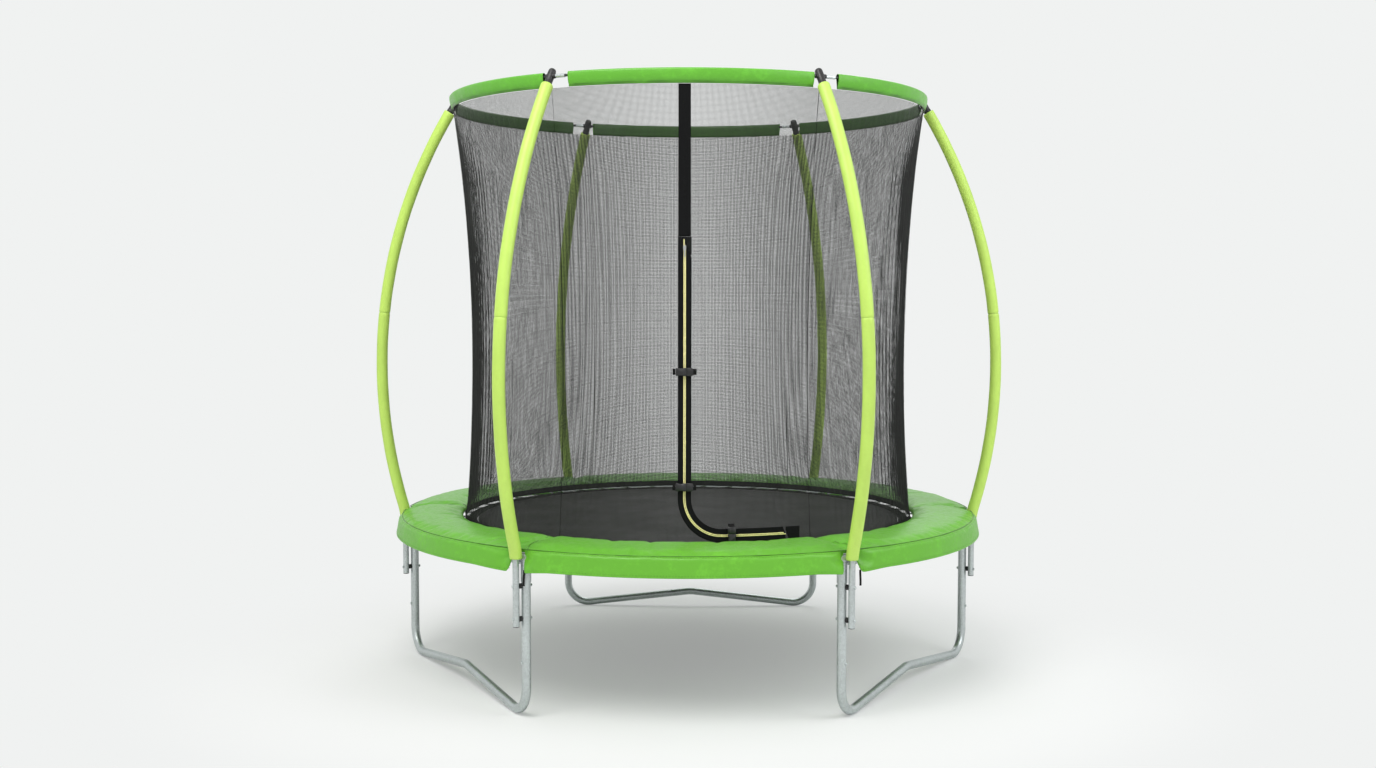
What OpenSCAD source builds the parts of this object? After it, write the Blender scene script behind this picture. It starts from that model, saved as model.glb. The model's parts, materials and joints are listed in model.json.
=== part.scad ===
// Round garden trampoline, 2.44 m (8 ft) size, with an enclosure net on six bowed poles.
// Millimetres, +Z up, origin on the ground at the centre. The door is at the front, towards -Y.

/* [Frame] */
// Radius of the top rail, to the middle of its tube
rail_r = 1196; // [1160:1:1260]
// Height of the top rail, to the middle of its tube
rail_z = 597; // [560:1:760]
// Outer diameter of the rail tube
rail_od = 38; // [34:1:42]
// Wall of every steel tube
tube_wall = 1.5; // [1.2:0.1:2]
// Length of a T-socket along the rail
socket_len = 110; // [90:5:160]
// Wall of a T-socket
socket_wall = 2; // [1.5:0.5:3]
// Lowest point of a T-socket's stub
stub_bottom_z = 512; // [480:1:530]
// Gap all round between parts that slide together
fit_gap = 0.3; // [0.2:0.05:0.5]
// Gap between a soft piece and what it lies on
soft_gap = 0.3; // [0.2:0.05:0.5]

/* [Legs] */
// Outer diameter of the leg tube
leg_od = 35; // [30:1:38]
// Half of the distance between the two uprights of a leg
leg_half_span = 615; // [590:1:640]
// Radius of the bend from an upright into its foot
foot_bend_r = 100; // [80:5:120]
// How far the middle of a leg's base rises above its feet
crest_rise = 55; // [30:5:80]
// Radius of the bend in the middle of a leg's base
crest_bend_r = 150; // [100:10:250]
// Height of the seam between the base and an upright
leg_seam_z = 190; // [170:1:230]
// Length of the neck that plugs a tube into the next one
neck_len = 60; // [40:5:90]
// Radius of a leg screw's head
leg_screw_head_r = 6; // [4:0.5:8]
// Radius of a leg screw's shank
leg_screw_r = 2.5; // [2:0.1:3]

/* [Poles] */
// Outer diameter of the pole tube
pole_od = 25; // [22:1:28]
// Length of the spacers between an upright and its pole
spacer_len = 9.5; // [6:0.5:16]
// Diameter of a spacer
spacer_d = 20; // [16:1:24]
// Lower end of the poles
pole_bottom_z = 349; // [330:1:355]
// Radius of the bow that a pole makes
bow_r = 2120; // [2000:10:2300]
// How far the bow stands out past the foot of the pole
bow_bulge = 96; // [85:1:110]
// Height at which the bow is widest
bow_apex_z = 1250; // [1220:5:1280]
// Where the upper pole starts, as an angle on the bow
pole_joint_a = 6.36; // [4:0.02:9]
// Where the upper pole ends, as an angle on the bow
pole_end_a = 31; // [29:0.5:32]
// Diameter of the foam sleeves
foam_od = 48; // [42:1:50]
// Bare pole between its kink and the foam sleeve
foam_from = 8; // [8:1:16]
// Height of the lower pole bolt
low_bolt_z = 376; // [370:1:400]
// Height of the upper pole bolt
high_bolt_z = 498; // [470:1:500]
// Radius of a bolt's shank
bolt_r = 3; // [2.5:0.5:4]
// Radius of a bolt's head and of its nut's corners
bolt_head_r = 6; // [5:0.5:7]

/* [Top ring] */
// Diameter of a pole cap
cap_d = 31; // [30:1:36]
// Length of a pole cap
cap_len = 72; // [62:1:80]
// How far past the foam the ring passes through the cap
ring_up = 40; // [36:1:46]
// How deep a pole plugs into its cap
cap_plug = 20; // [12:1:24]
// Diameter of the ring's rod
rod_d = 10; // [8:0.5:12]
// Diameter of a ferrule
ferrule_d = 14; // [13:0.5:16]
// Length of a ferrule
ferrule_len = 40; // [30:1:46]
// Distance from a cap's middle to its ferrule
ferrule_from = 25; // [24:1:28]
// Length of the collar between a cap and its ferrule
collar_len = 6; // [4:0.5:6]
// Bare rod after a cap, before the fabric tunnel
tunnel_from = 80; // [76:1:110]
// Bare rod before the next cap
tunnel_to = 30; // [20:1:60]
// Height of the fabric tunnel
tunnel_h = 57; // [50:1:70]
// Thickness of the fabric tunnel round the rod
tunnel_t = 17; // [16:0.5:20]

/* [Net] */
// Radius of the net at its waist
net_waist_r = 927; // [900:1:935]
// Height of the waist
net_waist_z = 1290; // [1200:5:1400]
// Radius of the net's profile
net_bow = 8000; // [7500:100:9500]
// Height of the net's lower hem
net_bottom_z = 622; // [620:1:640]
// Thickness of the net
net_t = 2; // [1.5:0.1:2.5]

/* [Door] */
// Height of the zip's upper end
zip_top_z = 1780; // [1700:5:1850]
// Height of the zip's level part
zip_low_z = 668; // [664:1:700]
// Where the level part of the zip ends
zip_end_x = 381; // [330:1:400]
// Radius of the zip's corner
zip_corner_r = 140; // [100:5:160]
// Width of one half of the zip's tape
tape_w = 25; // [18:1:30]
// Thickness of the zip's tape
tape_t = 1.5; // [1:0.1:2]
// Gap between the two halves of the zip
zip_gap = 0.8; // [0.6:0.1:1.2]
// Half of the gap along the line that the door folds about
fold_gap = 2.2; // [2:0.1:3]
// Width of the band above the door
band_w = 46; // [30:1:60]
// Gap between the zip's end and the band
band_gap = 16; // [12:1:30]
// Distance from the zip's upper end down to the middle of its slider
slider_drop = 40; // [38:1:60]
// Width of the zip's slider
slider_w = 11; // [8:1:12]
// Height of the zip's slider
slider_h = 16; // [12:1:20]
// Thickness of the zip's slider
slider_t = 4; // [3:0.5:5]
// Length of the slider's pull
pull_len = 34; // [25:1:40]
// Height of the upper buckle
buckle_1_z = 1280; // [1150:5:1350]
// Height of the lower buckle
buckle_2_z = 850; // [840:5:950]
// Place of the buckle on the level part of the zip
buckle_3_x = 175; // [170:1:220]
// Length of a closed buckle
buckle_len = 65; // [60:1:70]
// Width of a buckle
buckle_w = 30; // [26:1:36]
// Thickness of a buckle
buckle_t = 9; // [8:0.5:11]
// How far a buckle stands off the net, so that the slider passes under it
buckle_off = 12; // [11.5:0.5:15]
// Wall of a buckle's socket
buckle_wall = 2.4; // [2:0.1:3]
// Length of a buckle's arms
arm_len = 24; // [20:1:25]
// Width of a buckle's strap
strap_w = 24; // [18:1:25]
// Thickness of a strap
strap_t = 1.6; // [1.2:0.1:2]

/* [Pad] */
// Inner radius of the safety pad
pad_in_r = 977; // [960:1:990]
// Radius of the pad's outer top edge
pad_out_r = 1220; // [1215:1:1225]
// Height of the pad's outer top edge
pad_edge_h = 17.5; // [14:0.5:25]
// Thickness of the pad at its crown
pad_crown_h = 30; // [26:0.5:36]
// How far the skirt's hem stands out past the top edge
skirt_flare = 18.6; // [14:0.1:24]
// Height of the skirt
skirt_h = 86; // [60:1:95]
// Thickness of the skirt
skirt_t = 3; // [2:0.5:4]
// Width of the slot for a pole
slot_w = 56; // [54:1:70]
// Width of the stitched valley along a pad seam
seam_w = 14; // [10:1:20]
// Depth of the stitched valley along a pad seam
seam_deep = 5; // [3:0.5:7]

/* [Mat] */
// Radius of the jumping mat with its webbing
mat_r = 948; // [935:1:950]
// Thickness of the mat's cloth
mat_t = 2; // [1.5:0.5:3]
// Thickness of the mat's edge webbing
webbing_t = 6; // [5:0.5:7]
// Width of the mat's edge webbing
webbing_w = 42; // [30:1:60]
// Height of the middle of the mat
mat_z = 607.5; // [604:0.5:609]
// Number of springs, the same for every sixth of the rail
springs_per_rail = 8; // [6:1:10]
// Diameter of a spring's coil
spring_d = 17; // [14:0.5:18]
// Length of a spring's coil
coil_len = 130; // [110:1:140]
// Diameter of a spring's wire
wire_d = 3.2; // [2.5:0.1:3.6]
// How far a V-ring reaches past the mat
vring_reach = 37; // [32:1:42]
// Width of a V-ring at the mat
vring_w = 44; // [34:1:50]
// Diameter of a V-ring's wire
vring_d = 4; // [3:0.5:5]

/* [Hidden] */

$fn = 64;
eps = 0.01;
far = 3000;            // past everything, for cuts
leg_azimuths = [210, 330, 90];
pole_count = 6;
sector = 360 / pole_count;

// Colours
steel_c = "#b9c1c1";
black_c = "#202224";
green_c = "#7dc84b";
lime_c = "#bfe86a";
net_c = "#3c3e3c";
zip_c = "#1a1b1c";

// Legs: the uprights stand under the rail, so the leg's plane lies this far from the centre
leg_setback = sqrt(rail_r * rail_r - leg_half_span * leg_half_span);
upright_a = atan2(leg_half_span, leg_setback);
bolt_span = leg_od / 2 + spacer_len + pole_od / 2;
pole_r = norm([leg_half_span, leg_setback + bolt_span]);
pole_a = atan2(leg_half_span, leg_setback + bolt_span);
// A bend is a hair thicker than the straight runs that end inside it, so that no surfaces coincide
bend_extra = 0.2;
bend_lap = 0.5;
foot_x = leg_half_span - foot_bend_r;
foot_z = (leg_od + bend_extra) / 2 + foot_bend_r;
crest_z = leg_od / 2 + crest_rise - crest_bend_r;
run_a = asin((foot_bend_r + crest_bend_r) / norm([foot_x, foot_z - crest_z]))
      - atan2(foot_z - crest_z, foot_x);
run_len = (foot_x - (foot_bend_r + crest_bend_r) * sin(run_a)) / cos(run_a);
neck_od_leg = leg_od - 2 * (tube_wall + fit_gap);
neck_od_pole = pole_od - 2 * (tube_wall + fit_gap);

// T-sockets
sleeve_r = rail_od / 2 + fit_gap + socket_wall;
stub_r = leg_od / 2 + fit_gap + socket_wall;
upright_top_z = rail_z - sleeve_r - fit_gap;
leg_screw_z = leg_seam_z + 22;

// Poles, in the plane of one pole: x is the distance from the centre
bow_x = pole_r + bow_bulge - bow_r;
pole_lean = acos((pole_r - bow_x) / bow_r);
kink_z = bow_apex_z - bow_r * sin(pole_lean);
pole_end_x = bow_x + bow_r * cos(pole_end_a);
pole_end_z = bow_apex_z + bow_r * sin(pole_end_a);
bow_mm_a = 180 / PI / bow_r;          // degrees that one millimetre spans on the bow
shoulder = 4;
kink_lap = 5;

// Top ring
ring_r = pole_end_x - ring_up * sin(pole_end_a);
ring_z = pole_end_z + ring_up * cos(pole_end_a);
mm_a = 180 / PI / ring_r;            // degrees that one millimetre spans on the ring
tunnel_top_z = ring_z + tunnel_t / 2 + 6;
tunnel_bottom_z = tunnel_top_z - tunnel_h;
net_top_z = tunnel_bottom_z - soft_gap;

// Net and door
net_steps = 16;
function net_r(z) = net_waist_r + net_bow - sqrt(net_bow * net_bow - pow(z - net_waist_z, 2));
panel_gap_a = 0.06;
tape_r0 = net_t / 2 + soft_gap;      // inside of the tape, from the middle of the net
tape_r1 = tape_r0 + tape_t;
slider_r0 = tape_r1 + 0.8;           // the slider's clearance takes up the tape's flat steps
function zip_line(d) = concat(
  [[d, zip_top_z]],
  [for (a = [180:10:270]) [zip_corner_r + (zip_corner_r - d) * cos(a),
                           zip_low_z + zip_corner_r + (zip_corner_r - d) * sin(a)]],
  [[zip_end_x, zip_low_z + d]]);
fold_a = atan2(zip_top_z - zip_low_z, zip_end_x);
socket_front = 6;                    // from a buckle's middle to the mouth of its socket
socket_back = buckle_len / 2;
strap_reach = 12;

// Pad
pad_z = rail_z + sleeve_r + soft_gap;
pad_top_z = pad_z + pad_edge_h;

// Mat
spring_count = springs_per_rail * pole_count;
spring_a = 360 / spring_count;
hook_x = rail_r - sqrt(pow(rail_od / 2, 2) - pow(mat_z - rail_z, 2));
hook_hole_r = wire_d / 2 + 1.4;
vring_tip = mat_r + soft_gap + vring_reach;
eye_x = vring_tip - vring_d - wire_d / 2 - soft_gap;
coil_x = (eye_x + hook_x) / 2 - coil_len / 2;

// ---------------------------------------------------------------- helpers

module tube_section(od, wall) {
  difference() {
    circle(d = od);
    circle(d = od - 2 * wall);
  }
}

module straight_tube(od, wall, len) {
  linear_extrude(len) tube_section(od, wall);
}

// A bar bent to radius r in the XZ plane, centred on the origin, from angle a0 to a1 (+X towards +Z)
module bent_bar(r, a0, a1, od) {
  rotate([90, 0, 0])
    rotate([0, 0, a0])
      rotate_extrude(angle = a1 - a0, $fn = 180) translate([r, 0]) circle(d = od);
}

// A ring's piece round the Z axis at radius r and height z, from azimuth a0 to a1
module ring_piece(r, z, a0, a1, od, wall) {
  translate([0, 0, z])
    rotate([0, 0, a0])
      rotate_extrude(angle = a1 - a0, $fn = 180) translate([r, 0]) tube_section(od, wall);
}

// Leg frame: x runs along the leg, y outwards
module in_leg(leg) {
  rotate([0, 0, leg_azimuths[leg] - 90]) children();
}

function pole_azimuth(i) = leg_azimuths[floor(i / 2)] + (i % 2 == 0 ? -1 : 1) * pole_a;
function socket_azimuth(i) = leg_azimuths[floor(i / 2)] + (i % 2 == 0 ? -1 : 1) * upright_a;
// Sockets in the order in which they stand round the rail, from azimuth 0
ROUND = [3, 4, 5, 0, 1, 2];
function socket_turn(k) = let (i = ROUND[k % 6], a = socket_azimuth(i))
  a + (k == 0 || k == 6 ? -360 : 0) + (k >= 6 ? 360 : 0);
function pole_turn(k) = let (i = ROUND[k % 6], a = pole_azimuth(i))
  a + (k == 0 || k == 6 ? -360 : 0) + (k >= 6 ? 360 : 0);

module at_pole(i) {
  rotate([0, 0, pole_azimuth(i)]) children();
}

module at_pole_end(i) {
  at_pole(i) translate([pole_end_x, 0, pole_end_z]) rotate([0, -pole_end_a, 0]) children();
}

// ---------------------------------------------------------------- frame

module frame_rail(k) {
  a0 = socket_turn(k);
  a1 = socket_turn(k + 1);
  end_a = 0.5 / rail_r * 180 / PI;
  middle = (a0 + a1) / 2;
  color(steel_c) difference() {
    ring_piece(rail_r, rail_z, a0 + end_a, a1 - end_a, rail_od, tube_wall);
    for (j = [0:springs_per_rail - 1]) {
      rotate([0, 0, sector * (floor(middle / sector)) + (j + 0.5) * spring_a])
        translate([rail_r - rail_od / 2 - 2, 0, mat_z])
          rotate([0, 90, 0]) cylinder(r = hook_hole_r, h = rail_od / 2);
    }
  }
}

module t_sockets() {
  half_a = socket_len / 2 / rail_r * 180 / PI;
  color(steel_c) for (i = [0:pole_count - 1]) {
    rotate([0, 0, socket_azimuth(i)]) difference() {
      union() {
        translate([0, 0, rail_z]) rotate([0, 0, -half_a])
          rotate_extrude(angle = 2 * half_a, $fn = 180) translate([rail_r, 0]) circle(r = sleeve_r);
        translate([rail_r, 0, stub_bottom_z]) cylinder(r = stub_r, h = rail_z - stub_bottom_z);
      }
      translate([0, 0, rail_z])
        rotate([0, 0, -half_a - 1])
          rotate_extrude(angle = 2 * half_a + 2, $fn = 180)
            translate([rail_r, 0]) circle(r = rail_od / 2 + fit_gap);
      translate([rail_r, 0, stub_bottom_z - 1])
        cylinder(r = leg_od / 2 + fit_gap, h = upright_top_z + fit_gap - stub_bottom_z + 1);
    }
  }
}

// Solid half of a leg's base of diameter od, on the +x side, up to height top
module leg_bar_half(od, top) {
  translate([leg_half_span, 0, foot_z - bend_lap])
    cylinder(d = od, h = top - foot_z + bend_lap);
  translate([foot_x, 0, foot_z]) bent_bar(foot_bend_r, -90 - run_a, 0, od + bend_extra);
  translate([foot_x - foot_bend_r * sin(run_a), 0, foot_z - foot_bend_r * cos(run_a)])
    rotate([0, run_a - 90, 0])
      translate([0, 0, -bend_lap]) cylinder(d = od, h = run_len + 2 * bend_lap);
}

module leg_bar(od, top, neck_d) {
  for (side = [0, 1]) mirror([side, 0, 0]) {
    leg_bar_half(od, top);
    translate([leg_half_span, 0, leg_seam_z - shoulder - 1])
      cylinder(d = neck_d, h = shoulder + 1 + neck_len + (od < leg_od ? 1 : 0));
  }
  translate([0, 0, crest_z]) bent_bar(crest_bend_r, 90 - run_a, 90 + run_a, od + bend_extra);
}

// A bent tube with a narrower neck at each end, which plugs into the uprights
module leg_base(leg) {
  color(steel_c) in_leg(leg) translate([0, leg_setback, 0]) difference() {
    leg_bar(leg_od, leg_seam_z, neck_od_leg);
    leg_bar(leg_od - 2 * tube_wall, leg_seam_z - shoulder, neck_od_leg - 2 * tube_wall);
    for (side = [0, 1]) mirror([side, 0, 0]) leg_screw_hole();
  }
}

module leg_screw_hole() {
  translate([leg_half_span, 0, leg_screw_z])
    rotate([-90, 0, 0]) cylinder(r = leg_screw_r + fit_gap / 3, h = leg_od);
}

module leg_uprights(leg) {
  color(steel_c) in_leg(leg) translate([0, leg_setback, 0]) for (side = [-1, 1]) {
    difference() {
      translate([side * leg_half_span, 0, leg_seam_z])
        straight_tube(leg_od, tube_wall, upright_top_z - leg_seam_z);
      mirror([side < 0 ? 1 : 0, 0, 0]) leg_screw_hole();
      for (z = [low_bolt_z, high_bolt_z]) {
        translate([side * leg_half_span, -leg_od, z])
          rotate([-90, 0, 0]) cylinder(r = bolt_r + fit_gap, h = 2 * leg_od);
      }
    }
  }
}

module leg_screws() {
  color(steel_c) for (leg = [0:2]) in_leg(leg) for (side = [-1, 1]) {
    translate([side * leg_half_span, leg_setback, leg_screw_z]) rotate([-90, 0, 0]) {
      translate([0, 0, leg_od / 2 + 0.05]) cylinder(r = leg_screw_head_r, h = 3);
      translate([0, 0, leg_od / 2 - 2 * tube_wall - 4]) cylinder(r = leg_screw_r, h = 2 * tube_wall + 5);
    }
  }
}

// ---------------------------------------------------------------- poles

module pole_bow(a0, a1, od) {
  translate([bow_x, 0, bow_apex_z]) bent_bar(bow_r, a0, a1, od);
}

// Solid straight foot from height z0, and the bow up to angle top_a
module pole_bar(z0, top_a, od) {
  translate([pole_r, 0, z0]) cylinder(d = od, h = kink_z + kink_lap - z0);
  pole_bow(-pole_lean - kink_lap * bow_mm_a, top_a, od);
}

module bolt_holes_at_pole(i) {
  turn = (i % 2 == 0 ? 1 : -1) * pole_a;
  for (z = [low_bolt_z, high_bolt_z]) {
    translate([pole_r, 0, z]) rotate([0, 0, turn - 90]) rotate([-90, 0, 0])
      cylinder(r = bolt_r + fit_gap, h = 2 * pole_od, center = true);
  }
}

module pole_lower(i) {
  neck_from = pole_joint_a - shoulder * bow_mm_a;
  neck_to = pole_joint_a + neck_len * bow_mm_a;
  color(steel_c) at_pole(i) difference() {
    union() {
      pole_bar(pole_bottom_z, pole_joint_a, pole_od);
      pole_bow(neck_from, neck_to, neck_od_pole);
    }
    union() {
      pole_bar(pole_bottom_z - 1, neck_from, pole_od - 2 * tube_wall);
      pole_bow(neck_from - bow_mm_a, neck_to + bow_mm_a, neck_od_pole - 2 * tube_wall);
    }
    bolt_holes_at_pole(i);
  }
}

module pole_upper(i) {
  to_a = pole_end_a + cap_plug * bow_mm_a;
  color(steel_c) at_pole(i) difference() {
    pole_bow(pole_joint_a, to_a, pole_od);
    pole_bow(pole_joint_a - bow_mm_a, to_a + bow_mm_a, pole_od - 2 * tube_wall);
  }
}

module foam_sleeves_lower() {
  from_a = -pole_lean + foam_from * bow_mm_a;
  color(lime_c) for (i = [0:pole_count - 1]) at_pole(i) difference() {
    pole_bow(from_a, pole_joint_a - 0.2 * bow_mm_a, foam_od);
    pole_bow(from_a - bow_mm_a, pole_joint_a + bow_mm_a, pole_od + 2 * fit_gap);
  }
}

module foam_sleeves_upper() {
  color(lime_c) for (i = [0:pole_count - 1]) at_pole(i) difference() {
    pole_bow(pole_joint_a + 0.2 * bow_mm_a, pole_end_a, foam_od);
    pole_bow(pole_joint_a - bow_mm_a, pole_end_a + bow_mm_a, pole_od + 2 * fit_gap);
  }
}

// Top cap with the ring's cross bore, the collar beside it, and the plug in the pole's lower end
module pole_caps() {
  top_bevel = 5;
  plug_t = 3;
  color(black_c) for (i = [0:pole_count - 1]) {
    at_pole_end(i) difference() {
      union() {
        translate([0, 0, soft_gap]) cylinder(d = cap_d, h = cap_len - top_bevel - soft_gap);
        translate([0, 0, cap_len - top_bevel])
          cylinder(d1 = cap_d, d2 = cap_d - 2 * top_bevel, h = top_bevel);
      }
      translate([0, 0, -1]) cylinder(r = pole_od / 2 + fit_gap, h = cap_plug + fit_gap + 1);
      translate([0, 0, ring_up])
        rotate([90, 0, 0]) cylinder(r = rod_d / 2 + fit_gap, h = 2 * cap_d, center = true);
    }
    rotate([0, 0, pole_azimuth(i)])
      ring_piece(ring_r, ring_z, (ferrule_from - collar_len - 1) * mm_a, (ferrule_from - 1) * mm_a,
                 ferrule_d + 3, (ferrule_d + 3 - rod_d) / 2 - fit_gap);
    at_pole(i) translate([pole_r, 0, pole_bottom_z]) {
      translate([0, 0, -plug_t]) cylinder(d = pole_od, h = plug_t);
      translate([0, 0, -eps]) cylinder(d = neck_od_pole, h = 14);
    }
  }
}

module pole_bolts() {
  head_h = 3;
  nut_h = 5;
  grip = leg_od / 2 + bolt_span + pole_od / 2;
  color(steel_c) for (leg = [0:2]) in_leg(leg) for (side = [-1, 1]) {
    for (z = [low_bolt_z, high_bolt_z]) {
      translate([side * leg_half_span, leg_setback - leg_od / 2, z]) rotate([-90, 0, 0]) {
        translate([0, 0, -nut_h - 2]) cylinder(r = bolt_r, h = grip + nut_h + 2.1);
        translate([0, 0, grip + 0.05]) cylinder(r = bolt_head_r, h = head_h);
        difference() {
          translate([0, 0, -nut_h - 0.05]) cylinder(r = bolt_head_r, h = nut_h, $fn = 6);
          translate([0, 0, -nut_h - 1]) cylinder(r = bolt_r + 0.05, h = nut_h + 2);
        }
      }
    }
  }
}

module bolt_spacers() {
  color(black_c) for (leg = [0:2]) in_leg(leg) for (side = [-1, 1]) {
    for (z = [low_bolt_z, high_bolt_z]) {
      translate([side * leg_half_span, leg_setback + leg_od / 2, z]) rotate([-90, 0, 0]) difference() {
        translate([0, 0, 0.05]) cylinder(d = spacer_d, h = spacer_len - 0.1);
        translate([0, 0, -1]) cylinder(r = bolt_r + fit_gap, h = spacer_len + 2);
      }
    }
  }
}

// ---------------------------------------------------------------- top ring

module ring_rods() {
  joint = ferrule_from + ferrule_len / 2;
  color("#26282a") for (k = [0:pole_count - 1]) {
    ring_piece(ring_r, ring_z, pole_turn(k) + (joint + 0.5) * mm_a,
               pole_turn(k + 1) + (joint - 0.5) * mm_a, rod_d, rod_d / 4);
  }
}

module ring_ferrules() {
  color("#c8cdd0") for (k = [0:pole_count - 1]) {
    ring_piece(ring_r, ring_z, pole_turn(k) + ferrule_from * mm_a,
               pole_turn(k) + (ferrule_from + ferrule_len) * mm_a,
               ferrule_d, (ferrule_d - rod_d) / 2 - fit_gap);
  }
}

// The fabric tunnel: round over the rod, drawn in to a stitched hem below it
module tunnel_section() {
  hem_t = 4;
  difference() {
    union() {
      translate([ring_r, tunnel_top_z - tunnel_t / 2]) circle(d = tunnel_t);
      polygon([
        [ring_r - tunnel_t / 2, tunnel_top_z - tunnel_t / 2],
        [ring_r - tunnel_t / 2 + 1, ring_z - 8],
        [ring_r - hem_t - 2, tunnel_bottom_z + 12],
        [ring_r - hem_t - 2, tunnel_bottom_z],
        [ring_r - 2, tunnel_bottom_z],
        [ring_r, tunnel_bottom_z + 12],
        [ring_r + tunnel_t / 2 - 1, ring_z - 8],
        [ring_r + tunnel_t / 2, tunnel_top_z - tunnel_t / 2]
      ]);
    }
    translate([ring_r, ring_z]) circle(r = rod_d / 2 + soft_gap);
  }
}

module ring_sleeves() {
  color(green_c) for (k = [0:pole_count - 1]) {
    a0 = pole_turn(k) + tunnel_from * mm_a;
    a1 = pole_turn(k + 1) - tunnel_to * mm_a;
    rotate([0, 0, a0]) rotate_extrude(angle = a1 - a0, $fn = 180) tunnel_section();
  }
}

// ---------------------------------------------------------------- net

// Part of the net's surface between azimuths a0 and a1 and heights z0 and z1. d0 and d1 are its
// inner and outer faces, from the middle of the net
module net_shell(a0, a1, d0, d1, z0, z1) {
  zs = [for (i = [0:net_steps]) z0 + (z1 - z0) * i / net_steps];
  rotate([0, 0, a0]) rotate_extrude(angle = a1 - a0, $fn = 180)
    polygon(concat([for (z = zs) [net_r(z) + d1, z]],
                   [for (i = [net_steps:-1:0]) [net_r(zs[i]) + d0, zs[i]]]));
}

module net_wall(k) {
  color(net_c) net_shell(pole_turn(k) + panel_gap_a / 2, pole_turn(k + 1) - panel_gap_a / 2,
                         -net_t / 2, net_t / 2, net_bottom_z, net_top_z);
}

// Flat outlines of the front, drawn in X and Z, cut straight through the front of the net
module through_front() {
  rotate([90, 0, 0]) linear_extrude(far / 2) children();
}

// Everything on the door's side of the zip's line, which is moved by d
module door_side(d) {
  polygon(concat(zip_line(d), [[zip_end_x + far / 10, zip_low_z + d],
                               [zip_end_x + far / 10, zip_top_z + far / 10],
                               [d, zip_top_z + far / 10]]));
}

// Everything on the door's side of the fold, c away from it
module below_fold(c) {
  translate([0, zip_top_z]) rotate(-fold_a) translate([-far / 4, -far / 2 - c]) square([far, far / 2]);
}

module front_shell(d0, d1, z0, z1) {
  net_shell(240 + panel_gap_a / 2, 300 - panel_gap_a / 2, d0, d1, z0, z1);
}

module net_front() {
  color(net_c) difference() {
    front_shell(-net_t / 2, net_t / 2, net_bottom_z, net_top_z);
    through_front() intersection() {
      door_side(-zip_gap / 2);
      below_fold(-fold_gap);
    }
  }
}

module door_flap() {
  color(net_c) intersection() {
    front_shell(-net_t / 2, net_t / 2, net_bottom_z, net_top_z);
    through_front() intersection() {
      door_side(zip_gap / 2);
      below_fold(fold_gap);
    }
  }
}

module zip_tape() {
  color(zip_c) intersection() {
    front_shell(tape_r0, tape_r1, net_bottom_z, net_top_z);
    through_front() polygon(concat(zip_line(-zip_gap / 2),
      [for (i = [len(zip_line(0)) - 1:-1:0]) zip_line(-tape_w)[i]]));
  }
}

module zip_tape_door() {
  color(zip_c) intersection() {
    front_shell(tape_r0, tape_r1, net_bottom_z, net_top_z);
    through_front() intersection() {
      below_fold(2 * fold_gap);
      polygon(concat(zip_line(zip_gap / 2),
        [for (i = [len(zip_line(0)) - 1:-1:0]) zip_line(tape_w)[i]]));
    }
  }
}

module door_band() {
  color(zip_c) intersection() {
    front_shell(tape_r0, tape_r1, net_bottom_z, net_top_z);
    through_front() translate([-band_w / 2, zip_top_z + band_gap])
      square([band_w, net_top_z - zip_top_z - band_gap]);
  }
}

// Hooks that tie the net's hem to every second V-ring
module net_lacing() {
  hook_r = 2;
  color(black_c) for (j = [0:2:spring_count - 1]) {
    rotate([0, 0, (j + 0.5) * spring_a]) translate([net_r(net_bottom_z), 0, 0]) {
      bottom = mat_z + vring_d / 2 + soft_gap;
      translate([0, 0, bottom]) cylinder(r = hook_r, h = net_bottom_z - soft_gap - bottom);
    }
  }
}

// ---------------------------------------------------------------- zip slider and buckles

// A frame on the front of the net at x and z: x sideways, y up along the net, z outwards
module on_front(x, z) {
  rotate([0, 0, asin(x / net_r(z))]) translate([0, -net_r(z), z])
    rotate([90 + asin((z - net_waist_z) / net_bow), 0, 0]) children();
}

module zip_slider() {
  pull_t = 1.6;
  color("#8f9496") on_front(0, zip_top_z - slider_drop) translate([0, 0, slider_r0]) {
    translate([-slider_w / 2, -slider_h / 2, 0]) cube([slider_w, slider_h, slider_t]);
    difference() {
      translate([-slider_w / 4, -pull_len, slider_t - 0.5])
        cube([slider_w / 2, pull_len + 2, pull_t + 0.5]);
      translate([0, -pull_len + 4, 0]) cylinder(r = slider_w / 8, h = slider_t + 3);
    }
  }
}

// Buckle frame: x points from the socket to the prongs
module at_buckle(n) {
  if (n == 1) on_front(0, buckle_1_z) children();
  if (n == 2) on_front(0, buckle_2_z) children();
  if (n == 3) on_front(buckle_3_x, zip_low_z) rotate([0, 0, 90]) children();
}

// A tray that is open outwards, so that the prongs also lift straight out of it
module buckle_socket() {
  translate([0, 0, buckle_off]) difference() {
    translate([-socket_back, -buckle_w / 2, 0])
      cube([socket_back + socket_front, buckle_w, buckle_t]);
    translate([-socket_back + buckle_wall, -buckle_w / 2 + buckle_wall, buckle_wall])
      cube([socket_back + socket_front, buckle_w - 2 * buckle_wall, buckle_t]);
  }
}

module buckle_sockets() {
  color(black_c) for (n = [1:3]) at_buckle(n) buckle_socket();
}

// Strap from a buckle's end down to the net, where it is sewn on
module strap(n) {
  lie = net_t / 2 + (n == 3 ? 2 : 1) * soft_gap;
  translate([0, strap_w / 2, 0]) rotate([90, 0, 0]) linear_extrude(strap_w) polygon([
    [socket_back + soft_gap, buckle_off + buckle_t / 2],
    [socket_back + soft_gap + strap_t, buckle_off + buckle_t / 2],
    [socket_back + soft_gap + 2 * strap_t, lie + strap_t],
    [socket_back + strap_reach, lie + strap_t],
    [socket_back + strap_reach, lie],
    [socket_back + soft_gap + strap_t / 2, lie]
  ]);
}

module socket_straps() {
  color(black_c) for (n = [1:3]) at_buckle(n) mirror([1, 0, 0]) strap(n);
}

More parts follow.
